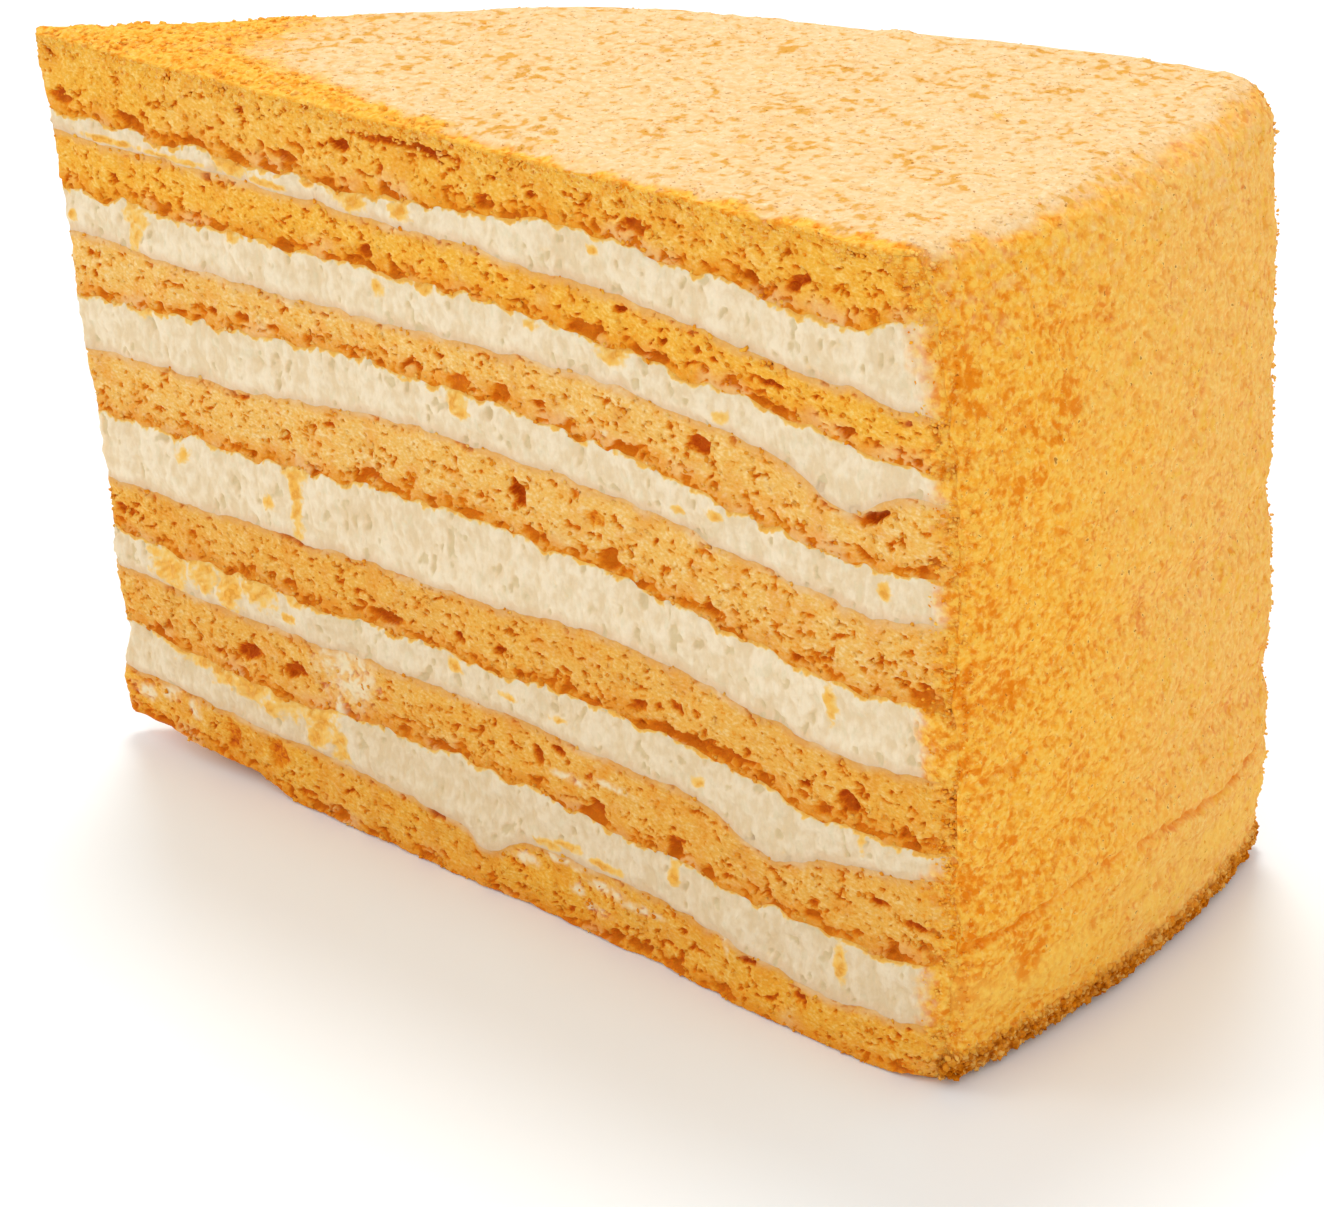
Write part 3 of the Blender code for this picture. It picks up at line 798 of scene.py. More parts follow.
for order, (name, _) in enumerate(LAYER_TOPS):
    if not name.startswith("sponge"):
        continue
    wall = layer_wall(order, SPONGE_ROWS)
    place = wall.place
    under_cream = order < len(LAYER_TOPS) - 1
    crumb_lift = relief(place, CRUMB_WAVES, 90)
    deep = sponge_pores(place, wall.level)
    deep[:, FRONT] = np.maximum(deep[:, FRONT], front_holes(place, crumb_lift))
    # Painted shade in pores and holes, painted light on raised crumb
    pore_shade = np.clip(deep / WIDE_DEPTH + CRUMB_SHADE - CREST_SHADE * crumb_lift, 0, 1)
    lace = THIN_CREAM + (1 - THIN_CREAM) * ragged_step(place, 0, *CREAM_LACE)
    cream = smears(wall, CREAM_SMEARS) * lace
    deep = deep * (1 - cream) * wall.off_edge
    richness = np.clip(SPONGE_RICHNESS[name] + relief(place, RICHNESS_WAVES, 37), 0, 1)
    marks = {
        "pore_shade": pore_shade,
        "smear": np.maximum(cream, veiled(wall, pore_shade, under_cream)),
        "rich": richness,
        "skin": SKIN_SHARE * ragged_step(place, wall.below_top, *SKIN_BAND) * under_cream,
        "foot_shade": FOOT_SHADE_SHARE * ragged_step(place, wall.above_foot, *FOOT_SHADE_BAND),
        "low": step(wall.z, *LOW_SHADE_HEIGHTS),
        "dust": rim_dust(wall),
    }
    out = cut_relief(place, wall.to_rim) - deep + CRUMB_HEIGHT * crumb_lift * wall.off_edge
    piece = close_layer(name, sponge_finish, wall, out, marks)
    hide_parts(name)
    picks = np.random.default_rng(50 + order)
    chance = np.where(wall.above_foot < LOOSE_BAND, LOOSE_CHANCE, STRAY_CHANCE)
    chance = chance * ~wall.hidden * (deep < SHALLOW)
    seats = picks.choice(chance.size, CRUMBS_A_SPONGE, replace=False, p=chance.ravel() / chance.sum())
    crumb_seats.append(np.stack([part.ravel()[seats] for part in (wall.x, wall.y, wall.z, richness)]))


# Cream layers.
# Six ivory layers of whipped sour cream, spread between the sponges and squeezed as cut.
# The knife left fine upright drag marks, burst bubbles and smears of golden crumb.
CREAM_ROWS = 28

# Crumb smeared over the cream on the front cut: place, height, half length, half height
CRUMB_SMEARS = (
    (12.0, 64.4, 1.7, 1.2), (11.8, 62.4, 0.9, 1.7), (11.0, 60.2, 0.6, 0.6), (2.4, 62.4, 0.6, 0.6),
    (26.0, 65.3, 0.8, 0.8), (46.0, 64.3, 0.8, 0.8), (52.6, 65.9, 0.8, 0.6), (65.8, 65.3, 1.0, 0.6),
    (76.0, 64.6, 1.7, 1.0), (73.9, 74.2, 0.8, 0.6), (88.0, 61.8, 0.8, 0.7), (82.5, 51.3, 0.8, 0.5),
    (87.0, 52.1, 0.8, 0.6), (105.6, 49.9, 0.8, 0.8), (14.7, 38.3, 1.1, 1.0), (31.5, 37.6, 1.0, 3.8),
    (27.3, 36.3, 1.0, 0.8), (99.4, 36.9, 0.7, 2.2), (100.0, 9.4, 0.7, 2.2), (83.5, 23.1, 0.8, 0.6),
    (10.5, 24.0, 2.9, 2.3), (15.6, 24.4, 2.0, 2.1), (19.6, 23.9, 2.2, 2.4), (24.0, 24.8, 2.4, 1.5),
    (28.4, 23.2, 0.9, 0.6), (29.6, 25.7, 1.4, 0.6), (52.5, 25.5, 0.9, 0.7), (59.8, 24.4, 1.3, 0.35),
    (66.0, 23.9, 1.1, 0.35), (102.8, 24.2, 0.35, 2.2), (80.2, 11.6, 0.6, 1.6), (12.8, 13.8, 2.8, 1.3),
    (17.0, 12.8, 2.4, 1.6), (21.6, 12.8, 2.6, 2.1), (24.6, 11.4, 1.6, 1.3), (27.6, 13.0, 3.0, 2.2),
    (31.6, 12.2, 2.6, 2.6), (30.6, 9.8, 1.2, 1.6), (34.2, 10.6, 1.5, 2.8), (66.0, 9.4, 2.4, 0.5),
    (63.5, 8.6, 1.8, 0.5), (71.0, 8.9, 2.0, 0.5), (27.0, 72.6, 2.6, 0.9), (43.4, 72.7, 2.4, 1.1),
    (50.6, 73.0, 1.4, 0.9), (32.5, 71.9, 2.5, 0.4), (9.0, 71.8, 3.5, 0.35), (19.0, 71.8, 4.5, 0.35),
    (56.0, 54.8, 1.5, 1.4), (31.4, 40.6, 1.5, 1.0), (37.5, 72.9, 1.0, 0.4), (11.0, 54.0, 1.4, 0.9),
)
# How far along the front cut each cream shows before crumbs from the rim cover it
CREAM_ENDS = {
    "cream_1": 109.2, "cream_2": 111.8, "cream_3": 109.0,
    "cream_4": 110.8, "cream_5": 110.8, "cream_6": 110.0,
}

CREAM_IVORY = display(232, 206, 165)
# Painted light for the crests of the drag marks
CREAM_LIT_CREST = display(245, 226, 194)
# Painted shade for the pits
CREAM_PIT_SHADE = display(216, 196, 152)
CREAM_GREY = display(224, 210, 172)
# Painted glow: light passing into the cream from the sponge below
CREAM_SPONGE_GLOW = display(232, 194, 152)
# Painted shade: the cream is made darker towards the base of the slice
CREAM_LOW_SHADE = display(206, 178, 132)
SMEARED_YELLOW = display(246, 200, 108)
SMEARED_CRUMB = display(228, 144, 26)
SMEARED_GOLD = display(244, 182, 76)
# Spots, listed as for pressed crumbs and stretched upright, and the ramps (start, full and
# how full) along which the marks bring in their colours
UPRIGHT = (1.3, 1.3, 0.7)
GREY_SPOTS = (1.3, 4.0, 0.56, 0.68, 0.35)
SMEARED_SPOTS = (0.7, 4.0, 0.4, 0.62)
CREST_LIGHT_FROM = (0.15, 0.85)
LOW_SHADE_FROM = (0.0, 1.0, 0.16)
PIT_SHADE_FROM = (0.05, 0.8, 0.6)
YELLOW_FROM = (0.1, 0.65)
CRUMB_FROM = (0.5, 1.1)


def ivory_cream():
    """Make the cream's material: painted light on its crests and painted shade in its pits, with crumb
    smeared over it in spots.
    """
    food, shader = food_finish("ivory_cream", roughness=0.55, scatter=0.35, radius=(1.4, 0.9, 0.6))
    fine = grain(food, size=0.9, detail=5.0, stretch=(1.2, 1.2, 0.8))
    crest_light = swayed(food, mark(food, "crest_light"), fine, strength=1.2)
    # Painted light on the crests of the drag marks, painted shade in their hollows
    tone = mix(food, ramp(food, crest_light, *CREST_LIGHT_FROM), CREAM_IVORY, CREAM_LIT_CREST)
    tone = mottled(food, tone, CREAM_GREY, *GREY_SPOTS, stretch=UPRIGHT)
    # Painted glow along the cream's foot, from the sponge below
    tone = marked(food, tone, CREAM_SPONGE_GLOW, "blush")
    # Painted shade, darker towards the base of the slice
    tone = marked(food, tone, CREAM_LOW_SHADE, "low", *LOW_SHADE_FROM)
    # Painted shade in the burst bubbles' pits
    tone = marked(food, tone, CREAM_PIT_SHADE, "pore_shade", *PIT_SHADE_FROM)
    ragged = swayed(food, mark(food, "smear"), grain(food, size=0.7, detail=4.0), strength=1.0)
    tone = mix(food, ramp(food, ragged, *YELLOW_FROM), tone, SMEARED_YELLOW)
    smeared = mottled(food, SMEARED_CRUMB, SMEARED_GOLD, *SMEARED_SPOTS)
    tone = mix(food, ramp(food, ragged, *CRUMB_FROM), tone, smeared)
    tone = marked(food, tone, golden_crumbs(food, DUST_WARMTH), "dust")
    fine = grain(food, size=0.7, detail=4.0, stretch=UPRIGHT)
    return link_finish(food, shader, tone, fine, distance=0.3, strength=0.8)


# How far cream is squeezed out between two sponges, and over which share it rounds off
SQUEEZED_OUT = 0.1
ROUND_SHARE = 0.3
# Drag marks and burst bubbles: how they are stretched, how deep, and how strongly their crests are
# painted lighter and their hollows darker, as light and shade
DRAG_WAVES = ((2.6, 0.2), (1.2, 0.18), (0.6, 0.1))
DRAG_STRETCH = (1.2, 1.2, 0.75)
PITS = (0.45, 0.8, ((1.3, 1.0), (0.6, 0.5)), 40)
PIT_STRETCH = (1.0, 1.0, 0.7)
PIT_DEPTH = 0.32
CREST_MIDDLE = 0.5
CREST_CONTRAST = 1.6
# Streaks in the smeared crumb, which lean forwards, and how proud and rough it lies
STREAKS = (-0.3, 0.2, LACE_WAVES, 48)
STREAK_LEAN = 0.6
STREAK_LENGTH = 0.4
THIN_CRUMB = 0.6
SMEAR_PROUD = 0.12
SMEAR_ROUGH = 0.2
# Crumb along a layer's top, a painted glow along its foot, standing in for light passing into the cream
# from the sponge below, and its end: share, raggedness, reach
TOP_CRUMB_SHARE = 0.9
TOP_CRUMB_RAGGED = 1.1
TOP_CRUMB_REACH = (0.45, 0.05)
SPONGE_GLOW_SHARE = 0.7
SPONGE_GLOW_RAGGED = 0.5
SPONGE_GLOW_REACH = (1.3, 0.1)
END_RAGGED = 2.0
END_REACH = (-0.5, 1.5)
# Heights over which painted shade darkens the cream towards the base
CREAM_LOW_SHADE_HEIGHTS = (36.0, 22.0)


def stretched(place, stretch):
    """Scale a place along each axis, which makes the lumps there shorter or longer."""
    return [part * share for part, share in zip(place, stretch)]


def smeared_crumb(wall, ragged):
    """Give where crumb lies over the cream: in smears with streaks, and along its top."""
    x, wide, z = wall.place
    leaning = (STREAK_LENGTH * (x + STREAK_LEAN * z), wide, z - STREAK_LEAN * x)
    streaks = THIN_CRUMB + (1 - THIN_CRUMB) * ragged_step(leaning, 0, *STREAKS)
    along_top = TOP_CRUMB_SHARE * step(wall.below_top + TOP_CRUMB_RAGGED * ragged, *TOP_CRUMB_REACH)
    return np.maximum(smears(wall, CRUMB_SMEARS) * streaks, along_top)


cream_finish = ivory_cream()

for order, (name, _) in enumerate(LAYER_TOPS):
    if not name.startswith("cream"):
        continue
    wall = layer_wall(order, CREAM_ROWS)
    place = wall.place
    squeezed = SQUEEZED_OUT * step(wall.level, 0, ROUND_SHARE) * step(wall.level, 1, 1 - ROUND_SHARE)
    ragged = relief(place, SMEAR_WAVES, 45)
    crumbs = smeared_crumb(wall, ragged)
    pits = PIT_DEPTH * ragged_step(stretched(place, PIT_STRETCH), 0, *PITS)
    fine = relief(stretched(place, DRAG_STRETCH), DRAG_WAVES, 50) - pits * (1 - crumbs)
    fine = fine + crumbs * (SMEAR_PROUD + SMEAR_ROUGH * ragged)
    covered = step(place[0] - CREAM_ENDS[name] + END_RAGGED * ragged, *END_REACH)
    marks = {
        "pore_shade": pits / PIT_DEPTH * (1 - crumbs),
        "smear": crumbs,
        "blush": SPONGE_GLOW_SHARE * step(wall.above_foot + SPONGE_GLOW_RAGGED * ragged, *SPONGE_GLOW_REACH),
        "dust": np.maximum(rim_dust(wall), covered),
        "low": step(wall.z, *CREAM_LOW_SHADE_HEIGHTS),
        "crest_light": np.clip(CREST_MIDDLE + CREST_CONTRAST * fine, 0, 1),
    }
    out = cut_relief(place, wall.to_rim) + squeezed + fine * wall.off_edge
    piece = close_layer(name, cream_finish, wall, out, marks)
    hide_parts(name)


# Crumb coat.
# The trimmings of the sponge, dried and rubbed to fine crumbs, pressed on the top and rim.
# It is pale and sandy on top, golden round the rim, and brown where it meets the table.

# Steps of the coat's sheet, from the tip over the top's edge to the foot, and across it;
# then the height of its foot, and how far it has settled
COAT_TOP_STEPS = 240
COAT_BEND_STEPS = 20
COAT_RIM_STEPS = 240
COAT_COLUMNS = COAT_TOP_STEPS + COAT_BEND_STEPS + COAT_RIM_STEPS
COAT_ACROSS = 168
COAT_SKIRT = 3
COAT_FOOT = 0.7
COAT_SETTLE = 0.22

# Folds where the coat cracked round the rim: distance from the front cut, height, depth
LOW_FOLD = (
    (0, 10, 18, 27, 31, 38, 43, 48, 53),
    (15.5, 15.9, 16.5, 15.8, 15.2, 13.9, 13.7, 14.5, 14.5),
    (1.2, 1.1, 0.5, 0.8, 1.2, 1.2, 1.1, 0.6, 0.3),
)
HIGH_FOLD = ((0, 4, 9, 13, 18, 53), (32.2, 32.5, 33.2, 33.4, 35.0, 35.0), (0.3, 0.7, 0.7, 0.4, 0.1, 0.0))
FOLD_WAVES = ((3.0, 0.5), (1.0, 0.3))
FOLD_HALF_HEIGHT = 0.6
FOLD_SHARPER_BELOW = 1.6
FOLD_SHARE = 0.8
FOLD_BREAKS = 2.5

# Darker orange patches on the rim: distance from the front cut, height, half width, half height
DEEP_PATCHES = (
    (1.6, 71.0, 2.2, 4.2), (1.0, 42.6, 1.4, 2.2), (1.2, 16.2, 1.8, 1.6), (8.0, 60.0, 1.8, 1.4),
    (13.0, 66.0, 1.5, 1.7), (6.0, 25.0, 1.4, 1.2), (3.0, 49.0, 1.4, 2.0), (19.0, 72.0, 1.6, 2.6),
)
PATCH_EDGE = (1.2, 0.5)


def coat_place(column, v):
    """Give the coat's outer face, smooth: x, y, z and how far it leans from flat."""
    bend_end = COAT_TOP_STEPS + COAT_BEND_STEPS
    lean = np.clip((column - COAT_TOP_STEPS) / COAT_BEND_STEPS, 0, 1) * np.pi / 2
    fall = np.clip((column - bend_end) / COAT_RIM_STEPS, 0, 1)
    z = BEND_START + TOP_EDGE_RADIUS * np.cos(lean) - fall * (BEND_START - COAT_FOOT)
    reach = rim_reach(v * RIM_WIDTH, z)
    x, y = plan_point(np.clip(column / COAT_TOP_STEPS, 0, 1), v, reach, CORE_TOP)
    return x, y, z, lean


def folds(x, y, z):
    """Give where the coat is cracked along a fold, from 0 to 1."""
    cracked = 0 * z
    for run, heights, depths in (LOW_FOLD, HIGH_FOLD):
        away = (z - np.interp(y, run, heights) - relief((x, y, 0.0), FOLD_WAVES, 17)) / FOLD_HALF_HEIGHT
        away = np.where(away < 0, away * FOLD_SHARPER_BELOW, away)
        cracked = cracked + np.interp(y, run, depths) * np.exp(-away ** 2) * (z < SHOULDER_HEIGHT)
    return np.clip(cracked * (FOLD_SHARE + lumps(x, y, 0.0, FOLD_BREAKS, 19)), 0, 1)


def deep_patches(x, y, z):
    """Give where the rim's crumbs are a deeper orange, from 0 to 1."""
    ragged = relief((x, y, z), SMEAR_WAVES, 55)
    away = [np.hypot((y - at) / wide, (z - height) / tall) for at, height, wide, tall in DEEP_PATCHES]
    return step(np.minimum.reduce(away) + ragged, *PATCH_EDGE)


# How warm the coat is by its front corner, in clusters, in patches and on top, with painted
# shade under the grooves. The rim starts where the coat leans more than one radian from flat.
ON_RIM_LEAN = 1
CORNER_WARMTH = 0.55
WARM_REACH = 24.0
CLUSTER_WARMTH = 0.6
CLUSTERS = (0.0, 0.6, ((5.0, 1.0),), 25)
GROOVE_SHADE = 0.5
UNDER_GROOVE = 1.0
PATCH_WARMTH = 0.9
MOST_WARMTH = 1.5
TOP_WARMTH = 0.5


def warmth(x, y, z, lean):
    """Give where orange spots gather: by the front corner and in patches, and as painted shade along
    folds and under grooves.
    """
    corner = CORNER_WARMTH * step(y, WARM_REACH, 0.0)
    clusters = CLUSTER_WARMTH * ragged_step((x, y, z), 0, *CLUSTERS)
    # Orange along the folds is painted shade
    patches = [folds(x, y, z), deep_patches(x, y, z)]
    for height, _ in RIM_GROOVES:
        # Painted shade just under each groove
        groove = np.exp(-((z - height + UNDER_GROOVE) / GROOVE_HALF_HEIGHT) ** 2)
        patches.append(GROOVE_SHADE * groove)
    on_rim = corner + clusters + PATCH_WARMTH * np.maximum.reduce(patches)
    return np.where(lean > ON_RIM_LEAN, np.clip(on_rim, 0, MOST_WARMTH), TOP_WARMTH)


# Golden crumbs on the pale top: a band along the front cut that widens at the tip, the tip
# itself and the edge of the rim. Pale crumbs spill from the top over the rim.
TOAST_WAVES = ((5.0, 1.2), (1.8, 0.8), (0.8, 0.5))
BAND_WIDTH = 1.0
BAND_WIDER = 7.0
BAND_WIDENS = (62.0, 22.0)
BAND_FADE = 0.4
BAND_FULL = 0.5
TIP_RAGGED = 3.0
TIP_REACH = (30.0, 18.0)
RIM_RAGGED = 0.35
RIM_LEAN = (0.15, 0.85)
SPILLED_SHARE = 0.25
SPILLED_RAGGED = 2.5
SPILLED_HEIGHTS = (72.0, 78.0)
SPILLED_PATCHES = (0.0, 0.35, ((1.2, 1.0),), 23)
PALER_SHARE = 0.22
PALER_REACH = (10.0, 36.0, ((7.0, 6.0),), 26)


def toast(x, y, z, v, lean):
    """Give how golden the coat is: pale on top, deeper along its edges and on the rim."""
    place = (x, y, z)
    ragged = relief(place, TOAST_WAVES, 14)
    band = BAND_WIDTH + BAND_WIDER * step(x, *BAND_WIDENS)
    edge = step(v * back_cut(x) + ragged, band + BAND_FADE, band * BAND_FULL)
    near_tip = step(x + TIP_RAGGED * ragged, *TIP_REACH)
    on_top = np.maximum(edge, near_tip) * np.cos(lean)
    near_rim = step(lean + RIM_RAGGED * ragged, *RIM_LEAN)
    spilled = SPILLED_SHARE * step(z - SPILLED_RAGGED * ragged, *SPILLED_HEIGHTS)
    spilled = spilled * ragged_step(place, 0, *SPILLED_PATCHES)
    paler = PALER_SHARE * ragged_step(place, y, *PALER_REACH)
    return np.clip(np.maximum(on_top, near_rim * (1 - spilled) * (1 - paler)), 0, 1)


def edge_distance(x, v):
    """Give how far a point of the coat is from the nearer cut."""
    return np.minimum(v, 1 - v) * back_cut(x)


# Relief of the coat: its lumps, crumbs and streaks, the wear along its edges, the swelling
# above its foot, and how rough its crumbs are on top, where golden and at the foot
COAT_WAVES = ((6.0, 0.3), (2.5, 0.1))
GRAIN_WAVES = ((1.2, 1.0), (0.6, 0.7), (0.35, 0.4))
STREAK_WAVES = ((1.4, 0.12),)
UPRIGHT_STREAK = 0.25
EDGE_WEAR_WAVES = ((2.4, 0.9),)
COAT_EDGE_WEAR = 0.7
COAT_EDGE_REACH = 2.5
LESS_WEAR_ON_RIM = 0.25
SWELLING_HEIGHT = 9.0
SWELLING_SPREAD = 4.0
SWELLING_PROUD = 0.3
FOLD_DEPTH = 0.9
PALE_ROUGH = 0.07
GOLDEN_ROUGHER = 0.15
FOOT_ROUGHER = 0.1
FOOT_ROUGH_HEIGHTS = (4.4, 3.0)


def foot_swelling(z):
    """Give how much of the swelling above the coat's foot is there at some height."""
    return np.exp(-((z - SWELLING_HEIGHT) / SWELLING_SPREAD) ** 2)


def coat_relief(x, y, z, v, lean):
    """Give how far the coat stands out: its crumbs, worn edges, streaks and folds."""
    place = (x, y, z)
    on_rim = np.sin(lean)
    worn = COAT_EDGE_WEAR * np.clip(1 - edge_distance(x, v) / COAT_EDGE_REACH, 0, 1) ** 2
    worn = worn * (1 + relief(place, EDGE_WEAR_WAVES, 15))
    out = relief(place, COAT_WAVES, 4) - COAT_SETTLE - worn * (1 - LESS_WEAR_ON_RIM * on_rim)
    out = out + on_rim * SWELLING_PROUD * foot_swelling(z)
    streaks = relief((x, y, z * UPRIGHT_STREAK), STREAK_WAVES, 11)
    out = out + on_rim * (streaks - FOLD_DEPTH * folds(x, y, z))
    rough = PALE_ROUGH + GOLDEN_ROUGHER * toast(x, y, z, v, lean)
    rough = rough + FOOT_ROUGHER * step(z, *FOOT_ROUGH_HEIGHTS)
    return out + rough * relief(place, GRAIN_WAVES, 12)


# Heights of the brown foot, how the swelling shows, and how much painted shade darkens the hollows
# between crumbs
BROWN_FOOT = (4.2, 2.6)
SWELLING_SHARE = 0.7
SWELLING_BREAKS = 3.0
HOLLOW_MIDDLE = 0.4
HOLLOW_CONTRAST = 0.7


def coat_marks(x, y, z, v, lean):
    """Give the marks that colour the coat and the loose crumbs on it."""
    on_rim = lean > ON_RIM_LEAN
    broken = (SWELLING_SHARE + lumps(x, y, z, SWELLING_BREAKS, 24)).clip(0, 1)
    # Painted shade: darker where the crumb relief is low
    hollow_shade = HOLLOW_MIDDLE - HOLLOW_CONTRAST * relief((x, y, z), GRAIN_WAVES, 12)
    return {
        "toast": toast(x, y, z, v, lean),
        "foot": step(z, *BROWN_FOOT),
        "warm": warmth(x, y, z, lean),
        "bulge": on_rim * foot_swelling(z) * broken,
        "fold_shade": on_rim * folds(x, y, z),
        "hollow_shade": hollow_shade.clip(0, 1),
    }


SLOPE_STEP = 0.1


def off_cut(x, side, out):
    """Turn a distance out of the front (0) or back (1) cut into a shift of x and one of y."""
    slope = (back_cut(x + SLOPE_STEP) - back_cut(x - SLOPE_STEP)) / (2 * SLOPE_STEP)
    out = out / np.where(side, np.hypot(1, slope), 1)
    return -side * slope * out, np.where(side, out, -out)


# The outer sheet, with a skirt at its edges that folds in to meet the layers
LEAST_EDGE = 0.3
coat_data, row, column = flat_grid(COAT_COLUMNS + 2 * COAT_SKIRT, COAT_ACROSS + 2 * COAT_SKIRT)
row = row - COAT_SKIRT
column = column - COAT_SKIRT
skirt = np.maximum.reduce((-row, row - COAT_ACROSS, -column, column - COAT_COLUMNS, row * 0)) / COAT_SKIRT
v = np.clip(row / COAT_ACROSS, 0, 1)
x, y, z, lean = coat_place(np.clip(column, 0, COAT_COLUMNS), v)
lip = LIP_ON_TOP + (LIP_ON_RIM - LIP_ON_TOP) * np.sin(lean)
at_edge = step(edge_distance(x, v), COAT_EDGE_REACH, 0.0)
out = np.maximum(coat_relief(x, y, z, v, lean), at_edge * LEAST_EDGE - lip)
sunk = out * (1 - skirt) - lip * skirt
side = np.where(v < 0.5, 0, 1)
level = np.minimum(z, CORE_TOP + COAT_ON_TOP - LIP_ON_TOP)
to_rim = np.maximum(rim_reach(v * RIM_WIDTH, level) - LIP_ON_RIM - x, 0)
shift_x, shift_y = off_cut(x, side, at_edge * cut_relief((x, side * RIM_WIDTH, level), to_rim))
marks = coat_marks(x, y, z, v, lean)
marks["toast"] = np.maximum(marks["toast"], skirt > 0)
place_points(coat_data, x + sunk * np.sin(lean) + shift_x, y + shift_y, z + sunk * np.cos(lean), **marks)

# The inner sheet, hidden against the layers
INNER_ALONG = 24
INNER_ACROSS = 8
INNER_MARGIN = 0.02
INNER_START = 0.08
inner_data, row, column = flat_grid(INNER_ALONG, INNER_ACROSS)
v = INNER_START + (1 - 2 * INNER_START) * row / INNER_ACROSS
column = COAT_COLUMNS * (INNER_MARGIN + (1 - 2 * INNER_MARGIN) * column / INNER_ALONG)
x, y, z, lean = coat_place(column, v)
thick = COAT_ON_TOP + (COAT_ON_RIM - COAT_ON_TOP) * np.sin(lean) - CAP_GAP * np.cos(lean)
place_points(
    inner_data, x - thick * np.sin(lean), y, z - thick * np.cos(lean), **dict.fromkeys(marks, 0 * v))

coat_mesh = bmesh.new()
coat_mesh.from_mesh(coat_data)
bmesh.ops.remove_doubles(coat_mesh, verts=coat_mesh.verts, dist=SAME_PLACE * MM)
for edge in coat_mesh.edges:
    edge.smooth = not edge.is_boundary
coat_mesh.from_mesh(inner_data)
open_edges = [edge for edge in coat_mesh.edges if edge.is_boundary]
bmesh.ops.bridge_loops(coat_mesh, edges=open_edges)
bmesh.ops.recalc_face_normals(coat_mesh, faces=coat_mesh.faces)
coat_mesh.to_mesh(coat_data)
coat_mesh.free()

COAT_WHITE = display(246, 222, 178)
COAT_PALE = display(240, 206, 156)
COAT_CREAMY = display(236, 194, 134)
COAT_FLECK = display(224, 162, 68)
COAT_YELLOW = display(252, 204, 92)
FOOT_BROWN = display(222, 140, 38)
FOOT_DARK = display(180, 94, 2)
SPECK_BROWN = display(168, 100, 20)
PALE_SPOTS = (0.9, 5.0, 0.36, 0.62)
WHITE_SPOTS = (0.6, 4.0, 0.54, 0.7, 0.7)
PALE_HOLLOW_SHADE = (0.5, 1.0, 0.45)
FLECKS_FROM = (0.53, 0.68)
BROWN_SPECKS = (0.5, 1.0, 0.73, 0.79, 0.8)
SWELLING_FROM = (0.1, 1.0, 0.5)
FOLD_SHADE_FROM = (0.1, 1.0, 0.6)
FOOT_SPOTS = (0.9, 5.0, 0.38, 0.6)


def coat_colour(material):
    """Mottle the coat: pale or golden by its toast, brown at the foot, and darker with painted shade in
    its hollows and folds.
    """
    pale = mottled(material, COAT_CREAMY, COAT_PALE, *PALE_SPOTS)
    pale = mottled(material, pale, COAT_WHITE, *WHITE_SPOTS)
    # Painted shade in the hollows between crumbs
    pale = marked(material, pale, COAT_FLECK, "hollow_shade", *PALE_HOLLOW_SHADE)
    small = grain(material, size=1.2, detail=5.0)
    flecks = swayed(material, small, grain(material, size=6.0), strength=0.4)
    pale = mix(material, ramp(material, flecks, *FLECKS_FROM), pale, COAT_FLECK)
    tone = marked(material, pale, golden_crumbs(material, mark(material, "warm")), "toast")
    tone = mottled(material, tone, SPECK_BROWN, *BROWN_SPECKS)
    tone = marked(material, tone, COAT_YELLOW, "bulge", *SWELLING_FROM)
    # Painted shade in the folds
    tone = marked(material, tone, COAT_DEEP, "fold_shade", *FOLD_SHADE_FROM)
    brown = mottled(material, FOOT_DARK, FOOT_BROWN, *FOOT_SPOTS)
    return marked(material, tone, brown, "foot")


def pressed_crumbs():
    """Make the coat's material, dry and rough."""
    food, shader = food_finish("pressed_crumbs", roughness=0.8, scatter=0.25, radius=(1.4, 0.7, 0.3))
    fine = grain(food, size=0.4, detail=4.0)
    return link_finish(food, shader, coat_colour(food), fine, distance=0.25, strength=0.6)


coat_finish = pressed_crumbs()
coat = show("pressed_crumb_coat", coat_data, coat_finish)
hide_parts("crumb_coat")


# Loose crumbs.
# Single crumbs of the same dried sponge, stuck in the coat or dropped on the cuts.
# Each sits part of its depth in what carries it; all of one place are one joined mesh.
CRUMB_UNEVEN = 0.28
MOST_UNEVEN = 1.6
CRUMB_STRETCH = (0.65, 1.25)


